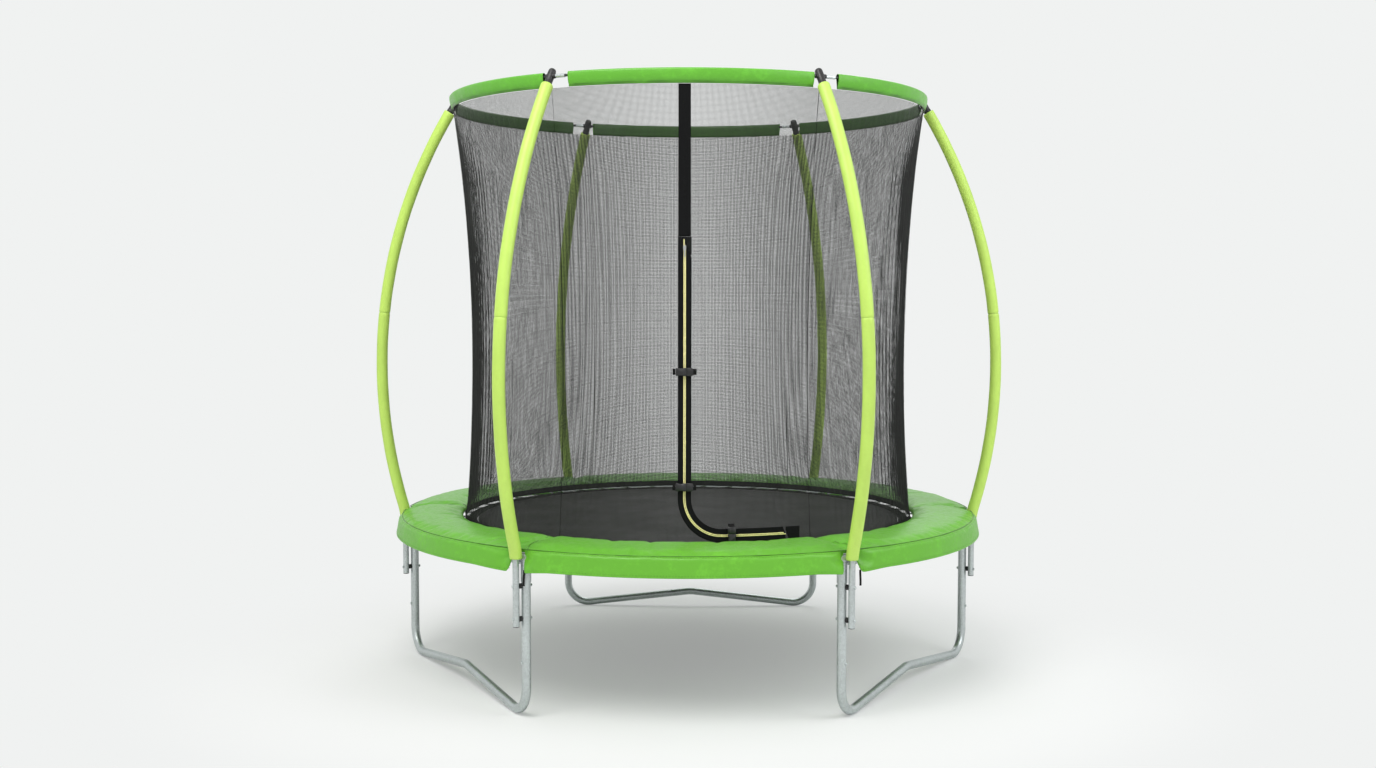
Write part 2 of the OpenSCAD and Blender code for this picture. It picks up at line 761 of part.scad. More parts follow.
module buckle_prong(n) {
  slack = 0.6;
  arm_w = 4.5;
  inner = buckle_w / 2 - buckle_wall - slack;
  color(black_c) at_buckle(n) {
    translate([socket_front + 0.3, -buckle_w / 2, buckle_off])
      cube([socket_back - socket_front - 0.3, buckle_w, buckle_t]);
    for (side = [-1, 0, 1]) {
      translate([socket_front + 0.5 - arm_len, side * (inner - arm_w / 2) - arm_w / 2,
                 buckle_off + buckle_wall + slack])
        cube([arm_len, arm_w, buckle_t - buckle_wall - 2 * slack]);
    }
  }
}

module prong_strap(n) {
  color(black_c) at_buckle(n) strap(n);
}

// ---------------------------------------------------------------- pad

// Half of the pad's section: foam under a crowned cover, and the skirt outside it
function crown_z(r) = let (t = (r - pad_in_r) / (pad_out_r - pad_in_r))
  pad_z + pad_edge_h * t + (pad_crown_h - 3) * (1 - t)
  + (pad_crown_h - (pad_edge_h + pad_crown_h - 3) / 2) * 4 * t * (1 - t) * 0.7;

module pad_section() {
  steps = 10;
  polygon(concat(
    [[pad_in_r + 5, pad_z], [pad_in_r, pad_z + 8], [pad_in_r + 1, pad_z + pad_crown_h - 8]],
    [for (i = [0:steps]) let (r = pad_in_r + 6 + (pad_out_r - pad_in_r - 8) * i / steps)
      [r, crown_z(r)]],
    [[pad_out_r, pad_top_z - 3],
     [pad_out_r + skirt_flare, pad_top_z - skirt_h],
     [pad_out_r + skirt_flare - skirt_t, pad_top_z - skirt_h],
     [pad_out_r - skirt_t, pad_z]]));
}

// One sewn ring. Each seam is a shallow valley, and the skirt is slotted for the poles
module safety_pad() {
  seam_a = seam_w / 2 / pad_out_r * 180 / PI;
  steps = 10;
  span = pad_out_r - pad_in_r;
  color(green_c) difference() {
    rotate_extrude($fn = 180) pad_section();
    for (i = [0:pole_count - 1]) at_pole(i) {
      rotate([0, 0, -seam_a]) rotate_extrude(angle = 2 * seam_a, $fn = 180) polygon(concat(
        [for (i = [0:steps]) let (r = pad_in_r - 1 + (span + 2) * i / steps)
          [r, crown_z(r) - seam_deep]],
        [[pad_out_r + 1, pad_z + 3 * pad_crown_h], [pad_in_r - 1, pad_z + 3 * pad_crown_h]]));
      translate([pole_r - foam_od / 2 - 2, -slot_w / 2, pad_top_z - skirt_h - 1])
        cube([far / 10, slot_w, far / 10]);
    }
  }
}

module pad_ties() {
  tie_w = 10;
  tie_t = 2;
  tie_len = 60;
  tie_lap = 12;
  hem_x = pad_out_r + skirt_flare - skirt_t;
  lean = skirt_flare / (pad_z - pad_top_z + skirt_h);
  color(black_c) for (i = [0:pole_count - 1]) at_pole(i) {
    translate([hem_x - tie_lap * lean - tie_t - 3.5 * soft_gap, slot_w / 2 + 4,
               pad_top_z - skirt_h - tie_len + tie_lap])
      cube([tie_t, tie_w, tie_len]);
  }
}

// ---------------------------------------------------------------- mat and springs

module mat() {
  color("#3a3838") translate([0, 0, mat_z - mat_t / 2]) cylinder(r = mat_r - 4, h = mat_t, $fn = 180);
}

module mat_edge() {
  color("#1c1c1d") difference() {
    translate([0, 0, mat_z - webbing_t / 2]) difference() {
      cylinder(r = mat_r, h = webbing_t, $fn = 180);
      translate([0, 0, -1]) cylinder(r = mat_r - webbing_w, h = webbing_t + 2, $fn = 180);
    }
    translate([0, 0, mat_z - mat_t / 2]) cylinder(r = mat_r - 4, h = mat_t, $fn = 180);
  }
}

module v_rings() {
  base = mat_r + soft_gap;
  color(steel_c) for (j = [0:spring_count - 1]) {
    rotate([0, 0, (j + 0.5) * spring_a]) translate([0, 0, mat_z - vring_d / 2])
      linear_extrude(vring_d) polygon(
        points = [
          [base, -vring_w / 2], [vring_tip, -4], [vring_tip, 4], [base, vring_w / 2],
          [base + vring_d, -vring_w / 2 + 1.8 * vring_d],
          [vring_tip - vring_d, -3], [vring_tip - vring_d, 3],
          [base + vring_d, vring_w / 2 - 1.8 * vring_d]
        ],
        paths = [[0, 1, 2, 3], [4, 5, 6, 7]]);
  }
}

// Each spring: its coil, a pin down through the V-ring and a pin into the rail
module springs() {
  color("#a9b0b2") for (j = [0:spring_count - 1]) {
    rotate([0, 0, (j + 0.5) * spring_a]) translate([0, 0, mat_z]) {
      translate([coil_x, 0, 0]) rotate([0, 90, 0]) cylinder(d = spring_d, h = coil_len, $fn = 24);
      translate([eye_x, 0, vring_d / 2 + soft_gap + wire_d / 2]) rotate([0, 90, 0])
        cylinder(d = wire_d, h = coil_x - eye_x + 1, $fn = 16);
      translate([eye_x, 0, -vring_d / 2 - 2])
        cylinder(d = wire_d, h = vring_d + 2 + soft_gap + wire_d, $fn = 16);
      translate([coil_x + coil_len - 1, 0, 0]) rotate([0, 90, 0])
        cylinder(d = wire_d, h = hook_x + 6 - coil_x - coil_len, $fn = 16);
    }
  }
}

// ---------------------------------------------------------------- the whole

for (k = [0:pole_count - 1]) {
  frame_rail(k);
  pole_lower(k);
  pole_upper(k);
}
for (k = [0:4]) net_wall(k < 4 ? k : 5);
for (n = [1:3]) {
  buckle_prong(n);
  prong_strap(n);
}
t_sockets();
leg_base(0);  // leg_base_left
leg_base(1);  // leg_base_right
leg_base(2);  // leg_base_rear
leg_uprights(0);  // leg_uprights_left
leg_uprights(1);  // leg_uprights_right
leg_uprights(2);  // leg_uprights_rear
leg_screws();
foam_sleeves_lower();
foam_sleeves_upper();
pole_caps();
pole_bolts();
bolt_spacers();
ring_rods();
ring_ferrules();
ring_sleeves();
net_front();
net_lacing();
door_band();
zip_tape();
buckle_sockets();
socket_straps();
door_flap();
zip_tape_door();
zip_slider();
safety_pad();
pad_ties();
mat();
mat_edge();
v_rings();
springs();
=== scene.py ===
"""Round garden trampoline with an enclosure net on six bowed poles.

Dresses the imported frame: cloth, foam, padding, springs, zip and buckles are built here,
and the steel keeps its own solids and gets its finish.
"""

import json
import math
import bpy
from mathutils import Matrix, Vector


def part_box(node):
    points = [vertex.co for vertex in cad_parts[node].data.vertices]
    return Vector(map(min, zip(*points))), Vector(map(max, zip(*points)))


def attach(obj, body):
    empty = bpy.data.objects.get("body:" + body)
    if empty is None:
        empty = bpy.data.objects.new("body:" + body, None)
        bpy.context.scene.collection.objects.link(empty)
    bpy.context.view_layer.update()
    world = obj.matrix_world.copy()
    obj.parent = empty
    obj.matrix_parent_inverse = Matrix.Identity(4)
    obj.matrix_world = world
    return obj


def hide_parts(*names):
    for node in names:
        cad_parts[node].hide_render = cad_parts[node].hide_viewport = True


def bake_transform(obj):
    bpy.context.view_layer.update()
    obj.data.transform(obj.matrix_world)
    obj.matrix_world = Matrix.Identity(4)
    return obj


bl_info = {
    "name": "Garden Trampoline",
    "version": (1, 0, 0),
    "blender": (4, 5, 0),
    "location": "View3D > Sidebar > Trampoline",
    "description": "Builds a round garden trampoline with an enclosure net",
    "category": "Add Mesh",
}

import bmesh
import bpy
import numpy as np
from mathutils import Euler, Vector, noise

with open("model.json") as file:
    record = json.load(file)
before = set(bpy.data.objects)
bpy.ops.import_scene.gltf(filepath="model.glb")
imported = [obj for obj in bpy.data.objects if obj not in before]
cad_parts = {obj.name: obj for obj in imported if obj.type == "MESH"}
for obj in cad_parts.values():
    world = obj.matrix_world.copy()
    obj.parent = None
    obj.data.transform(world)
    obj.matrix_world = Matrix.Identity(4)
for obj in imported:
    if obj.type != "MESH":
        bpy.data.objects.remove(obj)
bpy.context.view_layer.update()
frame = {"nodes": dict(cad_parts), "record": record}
NODES = frame["nodes"]

TAU = 2 * math.pi
MM = 0.001

# ------------------------------------------------------------------ measures, as in the solids
POLE_R = 1.23005                    # foot of a pole, from the centre
POLE_OD = 0.025
BOW_X, BOW_Z, BOW_R = -0.79395, 1.25, 2.12
POLE_LEAN = math.radians(17.31)     # where the bow starts, below its widest point
JOINT_A = math.radians(6.36)        # where the upper pole starts
END_A = math.radians(31)            # where the foam ends
SECTOR = TAU / 6
RING_R, RING_Z = 1.00264, 2.37617
TUNNEL_TOP, TUNNEL_BOTTOM = 2.39067, 2.33367
TUNNEL_FROM, TUNNEL_TO = 0.080, 0.030
NET_TOP, NET_BOTTOM = 2.33337, 0.622
NET_WAIST_R, NET_WAIST_Z, NET_BOW = 0.927, 1.29, 8.0
NET_HALF = 0.001
TAPE_IN, TAPE_OUT = 0.0013, 0.0028  # inside and outside of the tapes, from the middle of the net
ZIP_TOP, ZIP_LOW, ZIP_END, ZIP_CORNER = 1.780, 0.668, 0.381, 0.140
TAPE_W, ZIP_HALF_GAP = 0.025, 0.0004
BAND_W, BAND_FROM = 0.046, 1.796
BUCKLES = ((0.0, 1.280), (0.0, 0.850), (0.175, 0.668))
BUCKLE_L, BUCKLE_W, BUCKLE_T, BUCKLE_OFF = 0.065, 0.030, 0.009, 0.012
SOCKET_FRONT = 0.006
PAD_IN, PAD_OUT = 0.9635, 1.220     # the cover reaches in to the net's loops, past its foam
PAD_Z, PAD_EDGE_Z, PAD_CROWN = 0.6186, 0.6361, 0.030
SKIRT_FLARE, SKIRT_H, SLOT_HALF = 0.0186, 0.086, 0.028
MAT_R, MAT_Z, WEBBING_W = 0.948, 0.6075, 0.042
SPRINGS, SPRING_R, COIL_FROM, COIL_L = 48, 0.0085, 1.0148, 0.130
WIRE_R, EYE_R, HOOK_R = 0.0016, 0.9794, 1.1802
RAIL_R, RAIL_Z = 1.196, 0.597
FOLD = ((0.0, ZIP_TOP), (ZIP_END, ZIP_LOW))


# ------------------------------------------------------------------ settings
class TrampolineNet(bpy.types.PropertyGroup):
    pitch: bpy.props.FloatProperty(
        name="Mesh Pitch", description="Distance between the threads of the net",
        default=0.0042, min=0.002, max=0.01, unit="LENGTH")
    thread: bpy.props.FloatProperty(
        name="Thread", description="Thickness of a thread of the net",
        default=0.0008, min=0.0003, max=0.002, unit="LENGTH")
    pleat: bpy.props.FloatProperty(
        name="Pleat Depth", description="Depth of the net's upright pleats",
        default=0.0032, min=0.0, max=0.008, unit="LENGTH")
    pleat_width: bpy.props.FloatProperty(
        name="Pleat Width", description="Distance between two pleats",
        default=0.034, min=0.015, max=0.06, unit="LENGTH")
    colour: bpy.props.FloatVectorProperty(
        name="Net Colour", description="Colour of the net's threads",
        default=(0.022, 0.023, 0.022), size=3, min=0.0, max=1.0, subtype="COLOR")
    zip_colour: bpy.props.FloatVectorProperty(
        name="Zip Colour", description="Colour of the zip's teeth",
        default=(1.0, 0.94, 0.42), size=3, min=0.0, max=1.0, subtype="COLOR")


class TrampolinePad(bpy.types.PropertyGroup):
    puff: bpy.props.FloatProperty(
        name="Puff", description="Most that the cover may swell above its foam",
        default=0.012, min=0.0, max=0.02, unit="LENGTH")
    slack: bpy.props.FloatProperty(
        name="Slack", description="Spare cloth of the cover, as a share of its size",
        default=0.02, min=0.0, max=0.05, subtype="FACTOR")
    stitch: bpy.props.FloatProperty(
        name="Stitch Pitch", description="Distance between two stitches of the edge seam",
        default=0.011, min=0.004, max=0.02, unit="LENGTH")
    colour: bpy.props.FloatVectorProperty(
        name="Pad Colour", description="Colour of the pad's coated cloth",
        default=(0.130, 0.435, 0.028), size=3, min=0.0, max=1.0, subtype="COLOR")
    sleeve_colour: bpy.props.FloatVectorProperty(
        name="Ring Sleeve Colour", description="Colour of the sleeves round the top ring",
        default=(0.115, 0.410, 0.030), size=3, min=0.0, max=1.0, subtype="COLOR")


class TrampolineFrame(bpy.types.PropertyGroup):
    foam_diameter: bpy.props.FloatProperty(
        name="Foam Diameter", description="Diameter of the foam round the poles",
        default=0.048, min=0.04, max=0.05, unit="LENGTH")
    foam_foot: bpy.props.FloatProperty(
        name="Foam Foot", description="Height at which the foam of a pole starts",
        default=0.600, min=0.59, max=0.64, unit="LENGTH")
    foam_colour: bpy.props.FloatVectorProperty(
        name="Foam Colour", description="Colour of the foam's cover",
        default=(0.475, 0.690, 0.122), size=3, min=0.0, max=1.0, subtype="COLOR")
    steel_colour: bpy.props.FloatVectorProperty(
        name="Steel Colour", description="Colour of the galvanised tube",
        default=(0.50, 0.54, 0.54), size=3, min=0.0, max=1.0, subtype="COLOR")


class TrampolineMat(bpy.types.PropertyGroup):
    coils: bpy.props.IntProperty(
        name="Coils", description="Turns of one spring", default=30, min=10, max=36)
    weave: bpy.props.FloatProperty(
        name="Weave", description="Pitch of the mat's weave",
        default=0.0035, min=0.001, max=0.01, unit="LENGTH")
    colour: bpy.props.FloatVectorProperty(
        name="Mat Colour", description="Colour of the jumping mat",
        default=(0.019, 0.0185, 0.018), size=3, min=0.0, max=1.0, subtype="COLOR")


# ------------------------------------------------------------------ shader maths
class Value:
    """A socket of a finish that takes part in sums."""

    def __init__(self, finish, socket):
        self.finish, self.socket = finish, socket

    def _math(self, operation, left, right):
        return self.finish.node("ShaderNodeMath", {"operation": operation}, {0: left, 1: right})

    def __add__(self, other):
        return self._math("ADD", self, other)

    def __radd__(self, other):
        return self._math("ADD", other, self)

    def __sub__(self, other):
        return self._math("SUBTRACT", self, other)

    def __rsub__(self, other):
        return self._math("SUBTRACT", other, self)

    def __mul__(self, other):
        return self._math("MULTIPLY", self, other)

    def __rmul__(self, other):
        return self._math("MULTIPLY", other, self)

    def __lt__(self, other):
        return self._math("LESS_THAN", self, other)

    def __gt__(self, other):
        return self._math("GREATER_THAN", self, other)


class Finish:
    """A material that is built from nodes, with one Principled shader."""

    def __init__(self, name, **fixed):
        self.material = bpy.data.materials.new(name)
        self.material.use_nodes = True
        self.tree = self.material.node_tree
        self.tree.nodes.clear()
        self.shader = self.tree.nodes.new("ShaderNodeBsdfPrincipled")
        for label, number in fixed.items():
            self.shader.inputs[label.replace("_", " ")].default_value = number
        self.show(self.shader.outputs[0])

    def show(self, socket):
        output = self.tree.nodes.get("Surface") or self.tree.nodes.new("ShaderNodeOutputMaterial")
        output.name = "Surface"
        self.tree.links.new(socket, output.inputs["Surface"])

    def node(self, kind, settings=None, inputs=None, output=0):
        """Adds a node: its settings first, then the values or links of its sockets."""
        made = self.tree.nodes.new(kind)
        for name, setting in (settings or {}).items():
            if name == "stops":
                ramp = made.color_ramp.elements
                while len(ramp) < len(setting):
                    ramp.new(0.5)
                for stop, (place, colour) in zip(ramp, setting):
                    stop.position, stop.color = place, colour
            else:
                setattr(made, name, setting)
        for name, given in (inputs or {}).items():
            if isinstance(given, Value):
                self.tree.links.new(given.socket, made.inputs[name])
            elif given is not None:
                made.inputs[name].default_value = given
        return Value(self, made.outputs[output])

    def wear(self, **links):
        """Feeds sockets of the shader that vary over the surface."""
        for label, value in links.items():
            self.tree.links.new(value.socket, self.shader.inputs[label.replace("_", " ")])
        return self

    def place(self, scale=(1, 1, 1), uv=False):
        """The piece's own coordinates, in metres times scale."""
        source = self.node("ShaderNodeTexCoord", output="UV" if uv else "Object")
        return self.node("ShaderNodeMapping", None, {"Vector": source, "Scale": scale})

    def noise(self, scale, detail=3.0, rough=0.55, at=None, stretch=(1, 1, 1), uv=False):
        return self.node("ShaderNodeTexNoise", None, {
            "Vector": at or self.place(stretch, uv), "Scale": scale,
            "Detail": detail, "Roughness": rough}, output="Fac")

    def ramp(self, value, low, high, to_low=0.0, to_high=1.0):
        return self.node("ShaderNodeMapRange", {"interpolation_type": "SMOOTHSTEP"}, {
            "Value": value, "From Min": low, "From Max": high,
            "To Min": to_low, "To Max": to_high})

    def mix(self, factor, first, second):
        return self.node("ShaderNodeMix", {"data_type": "RGBA"}, {
            0: factor, 6: first if isinstance(first, Value) else (*first, 1),
            7: second if isinstance(second, Value) else (*second, 1)}, output=2)

    def bump(self, height, depth, strength=0.6, normal=None):
        return self.node("ShaderNodeBump", None, {
            "Height": height, "Distance": depth, "Strength": strength, "Normal": normal})

    def threads(self, pitch, uv=True):
        """Distance from the middle of a thread, in both directions, in shares of the pitch."""
        at = self.place((1 / pitch, 1 / pitch, 1 / pitch), uv)
        x, y = (self.node("ShaderNodeSeparateXYZ", None, {0: at}, output=i) for i in (0, 1))
        half = [self.node("ShaderNodeMath", {"operation": "PINGPONG"}, {0: v, 1: 0.5})
                for v in (x, y)]
        return half


def shade(colour, share):
    return tuple(min(1.0, c * share) for c in colour)


def galvanised_finish(name, colour, rough=0.38):
    """Hot-dipped steel: pale spangle, drawn lines, dull patches."""
    f = Finish(name, Metallic=0.85, Specular_IOR_Level=0.5)
    spangle = f.node("ShaderNodeTexVoronoi", None, {"Vector": f.place(), "Scale": 160.0}, "Color")
    grain = f.node("ShaderNodeSeparateColor", None, {0: spangle})
    cloud = f.noise(9.0, 4.0)
    streak = f.noise(60.0, 2.0, stretch=(1, 1, 0.08))
    tone = f.ramp(0.55 * cloud + 0.25 * grain + 0.2 * streak, 0.25, 0.75)
    f.wear(Base_Color=f.mix(tone, shade(colour, 0.86), shade(colour, 1.10)),
           Roughness=f.ramp(cloud + 0.3 * grain, 0.3, 0.95, rough - 0.06, rough + 0.10),
           Normal=f.bump(0.6 * cloud + 0.4 * streak, 0.0004, 0.15))
    return f.material


def plastic_finish(name, colour, rough=0.42):
    """Moulded plastic: fine grain, scuffed and paler on its raised spots."""
    f = Finish(name, Specular_IOR_Level=0.45)
    grain, scuff = f.noise(1400.0, 2.0), f.noise(45.0, 5.0, 0.7)
    f.wear(Base_Color=f.mix(f.ramp(scuff, 0.55, 0.8), colour, tuple(c * 1.8 + 0.01 for c in colour)),
           Roughness=f.ramp(scuff, 0.3, 0.8, rough - 0.06, rough + 0.16),
           Normal=f.bump(grain, 0.00012, 0.4))
    return f.material


def foam_finish(settings):
    """Thin glossy cover over closed-cell foam: long soft dents, faint scuffs."""
    f = Finish("foam_cover", Specular_IOR_Level=0.42, Subsurface_Weight=0.0)
    dents = f.noise(26.0, 3.0, stretch=(1, 1, 0.35))
    scuff = f.noise(120.0, 4.0, 0.7)
    pores = f.noise(900.0, 1.0)
    tone = f.ramp(0.7 * dents + 0.3 * scuff, 0.3, 0.7)
    f.wear(Base_Color=f.mix(tone, shade(settings.foam_colour, 0.93), shade(settings.foam_colour, 1.05)),
           Roughness=f.ramp(scuff, 0.3, 0.75, 0.36, 0.52),
           Normal=f.bump(0.85 * dents + 0.15 * pores, 0.0011, 0.45))
    return f.material


def coated_cloth_finish(name, colour, pitch=0.0011, inside=0.0):
    """Coated woven cloth with creases and dust; nearer the middle than inside it gets painted shade."""
    f = Finish(name, Specular_IOR_Level=0.4)
    crease = f.noise(11.0, 5.0, 0.62)
    fine = f.noise(55.0, 4.0, 0.6)
    a, b = (f.node("ShaderNodeTexWave", {"bands_direction": way}, {
        "Vector": f.place(), "Scale": TAU / 20 / pitch}, "Fac") for way in ("X", "Y"))
    weave = a * b
    dust = f.ramp(crease * fine, 0.22, 0.42)
    front = f.mix(dust, shade(colour, 0.92), shade(colour, 1.08))
    # painted shade: cloth nearer the middle than inside is drawn at 0.18 of its colour, as if in shadow
    if inside:
        away = f.node("ShaderNodeVectorMath", {"operation": "LENGTH"}, {0: f.place((1, 1, 0))}, output=1)
        front = f.mix(f.ramp(away, inside - 0.003, inside + 0.001), shade(colour, 0.18), front)
    f.wear(Base_Color=front,
           Roughness=f.ramp(fine, 0.3, 0.75, 0.30, 0.46),
           Normal=f.bump(0.5 * crease + 0.3 * fine + 0.04 * weave, 0.003, 0.55))
    return f.material


def net_finish(settings):
    """Open knitted net: threads with holes between them."""
    f = Finish("net_threads", Roughness=0.75, Specular_IOR_Level=0.25)
    half = settings.thread / settings.pitch / 2
    across, along = f.threads(settings.pitch)
    thread = f.node("ShaderNodeMath", {"operation": "MAXIMUM"}, {0: across < half, 1: along < half})
    cloud = f.noise(14.0, 3.0, uv=True)
    f.wear(Base_Color=f.mix(cloud, shade(settings.colour, 0.7), shade(settings.colour, 1.5)),
           Alpha=thread)
    return f.material


def webbing_finish(name, colour, pitch=0.0016, rough=0.78):
    """Woven strap: fine ribs across, worn paler on top."""
    f = Finish(name, Specular_IOR_Level=0.08)
    a, b = (f.node("ShaderNodeTexWave", {"bands_direction": way}, {
        "Vector": f.place(), "Scale": TAU / 20 / pitch}, "Fac") for way in ("DIAGONAL", "Z"))
    fuzz = f.noise(260.0, 4.0, 0.7)
    f.wear(Base_Color=f.mix(f.ramp(fuzz, 0.3, 0.75), shade(colour, 0.75), shade(colour, 1.7)),
           Roughness=f.ramp(fuzz, 0.2, 0.8, rough - 0.08, rough + 0.12),
           Normal=f.bump(a * b + 0.3 * fuzz, 0.0004, 0.6))
    return f.material


def mat_finish(settings):
    """Tightly woven polypropylene: a fine plain weave with a dull shine and dusty patches."""
    f = Finish("mat_weave", Specular_IOR_Level=0.30)
    a, b = (f.node("ShaderNodeTexWave", {"bands_direction": way}, {
        "Vector": f.place(), "Scale": TAU / 20 / settings.weave}, "Fac") for way in ("X", "Y"))
    cloud, fine = f.noise(3.2, 5.0, 0.6), f.noise(140.0, 3.0)
    tone = f.ramp(0.7 * cloud + 0.3 * fine, 0.3, 0.7)
    f.wear(Base_Color=f.mix(tone, shade(settings.colour, 0.8), shade(settings.colour, 1.3)),
           Roughness=f.ramp(cloud, 0.3, 0.7, 0.50, 0.62),
           Normal=f.bump(a * b + 0.25 * fine, 0.0005, 0.5))
    return f.material


# ------------------------------------------------------------------ mesh building
def link(name, mesh):
    made = bpy.data.objects.new(name, mesh)
    bpy.context.scene.collection.objects.link(made)
    return made


def mesh_from(name, points, faces, smooth=True):
    mesh = bpy.data.meshes.new(name)
    mesh.from_pydata([tuple(p) for p in points], [], [tuple(int(i) for i in f) for f in faces])
    mesh.validate()
    mesh.polygons.foreach_set("use_smooth", [smooth] * len(mesh.polygons))
    return mesh


def quads(count, row_length, wrap_rows=False, wrap_columns=False, first=0):
    """Faces of a grid of count rows with row_length points each."""
    index = first + np.arange(count * row_length).reshape(count, row_length)
    i = np.arange(count if wrap_rows else count - 1)
    j = np.arange(row_length if wrap_columns else row_length - 1)
    i1, j1 = (i + 1) % count, (j + 1) % row_length
    return np.stack([index[np.ix_(i, j)], index[np.ix_(i1, j)],
                     index[np.ix_(i1, j1)], index[np.ix_(i, j1)]], -1).reshape(-1, 4)


def point_out(mesh):
    """Turns a closed mesh's faces outwards."""
    shell = bmesh.new()
    shell.from_mesh(mesh)
    bmesh.ops.recalc_face_normals(shell, faces=shell.faces)
    shell.to_mesh(mesh)
    shell.free()
    return mesh


def tube(name, rings, capped=True, closed=False):
    """A mesh through rings of points, shape (rings, sides, 3)."""
    rings = np.asarray(rings)
    n, m = rings.shape[:2]
    faces = [list(q) for q in quads(n, m, wrap_rows=closed, wrap_columns=True)]
    if capped and not closed:
        faces += [list(range(m)), list(range((n - 1) * m, n * m))]
    return point_out(mesh_from(name, rings.reshape(-1, 3), faces))


def cloth_wall(name, outer, inner):
    """A thin closed mesh between two grids of points, joined round their rims."""
    n, m = outer.shape[:2]
    top, bottom = quads(n, m), quads(n, m, first=n * m)[:, ::-1]
    rim = ([(i, 0) for i in range(n)] + [(n - 1, j) for j in range(1, m)]
           + [(i, m - 1) for i in range(n - 2, -1, -1)] + [(0, j) for j in range(m - 2, 0, -1)])
    ids = [i * m + j for i, j in rim]
    sides = [(a, b, b + n * m, a + n * m) for a, b in zip(ids, ids[1:] + ids[:1])]
    points = np.concatenate([outer.reshape(-1, 3), inner.reshape(-1, 3)])
    return point_out(mesh_from(name, points, [*top, *bottom, *sides]))


def add_uv(mesh, flat):
    """One UV pair for each point of the mesh, in metres."""
    layer = mesh.uv_layers.new(name="cut")
    corner = np.zeros(len(mesh.loops), int)
    mesh.loops.foreach_get("vertex_index", corner)
    layer.data.foreach_set("uv", np.asarray(flat, float)[corner].ravel())


def around(radius, angle, z):
    return np.stack(np.broadcast_arrays(radius * np.cos(angle), radius * np.sin(angle), z), -1)


def ripple(x, y, scale, seed=0.0):
    """Smooth noise from -1 to 1 at matching arrays of places."""
    flat = np.broadcast_arrays(np.asarray(x, float), np.asarray(y, float))
    found = [noise.noise(Vector((a * scale, b * scale, seed)))
             for a, b in zip(flat[0].ravel(), flat[1].ravel())]
    return np.array(found).reshape(flat[0].shape)


def ease(x, low, high):
    t = np.clip((np.asarray(x, float) - low) / (high - low), 0, 1)
    return t * t * (3 - 2 * t)


def strap_mesh(name, path, across, width, thick, round_off=0.25):
    """A flat strap along a path: rounded edges, closed ends. across holds its sideways vectors."""
    path, across = np.asarray(path, float), np.asarray(across, float)
    along = np.gradient(path, axis=0)
    along /= np.linalg.norm(along, axis=1)[:, None]
    across = across / np.linalg.norm(across, axis=1)[:, None]
    up = np.cross(along, across)
    w, t = width / 2, thick / 2
    section = [(-w, 0), (-w + t, -t), (0, -t), (w - t, -t), (w, 0), (w - t, t), (0, t), (-w + t, t)]
    rings = np.stack([path + across * x + up * y for x, y in section], 1)
    return tube(name, rings)


def net_r(z):
    return NET_WAIST_R + NET_BOW - np.sqrt(NET_BOW ** 2 - (np.asarray(z, float) - NET_WAIST_Z) ** 2)


def on_front(x, z, off=0.0):
    """A point at x and z on the front of the net, off metres outside its middle."""
    x, z = np.broadcast_arrays(np.asarray(x, float), np.asarray(z, float))
    r = net_r(z) + off
    return np.stack([x, -np.sqrt(r ** 2 - x ** 2), z], -1)


def out_of_net(points):
    """Unit vectors that point out of the net."""
    points = np.asarray(points, float)
    slope = (points[..., 2] - NET_WAIST_Z) / NET_BOW
    r = np.hypot(points[..., 0], points[..., 1])
    out = np.stack([points[..., 0] / r, points[..., 1] / r, -slope], -1)
    return out / np.linalg.norm(out, axis=-1)[..., None]


def zip_line(d, straight=60, bend=16, level=18):
    """Points x, z of the zip's line, moved d metres to the door's side."""
    upright = [(d, z) for z in np.linspace(ZIP_TOP, ZIP_LOW + ZIP_CORNER, straight)]
    corner = [(ZIP_CORNER + (ZIP_CORNER - d) * math.cos(a),
               ZIP_LOW + ZIP_CORNER + (ZIP_CORNER - d) * math.sin(a))
              for a in np.linspace(math.pi, 1.5 * math.pi, bend)[1:]]
    flat = [(x, ZIP_LOW + d) for x in np.linspace(ZIP_CORNER, ZIP_END, level)[1:]]
    return np.array(upright + corner + flat)


def fold_distance(x, z):
    """How far a point of the front lies on the door's side of the fold."""
    (x0, z0), (x1, z1) = FOLD
    length = math.hypot(x1 - x0, z1 - z0)
    return ((z0 - z1) * (x0 - np.asarray(x)) + (x1 - x0) * (z0 - np.asarray(z))) / length


def settle(piece, material, body=None, stands_for=()):
    """Gives a finished piece its material and body, and hides the solids that it stands for."""
    piece.data.materials.clear()
    piece.data.materials.append(material)
    if body:
        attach(piece, body)
    if stands_for:
        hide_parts(*stands_for)
    return piece


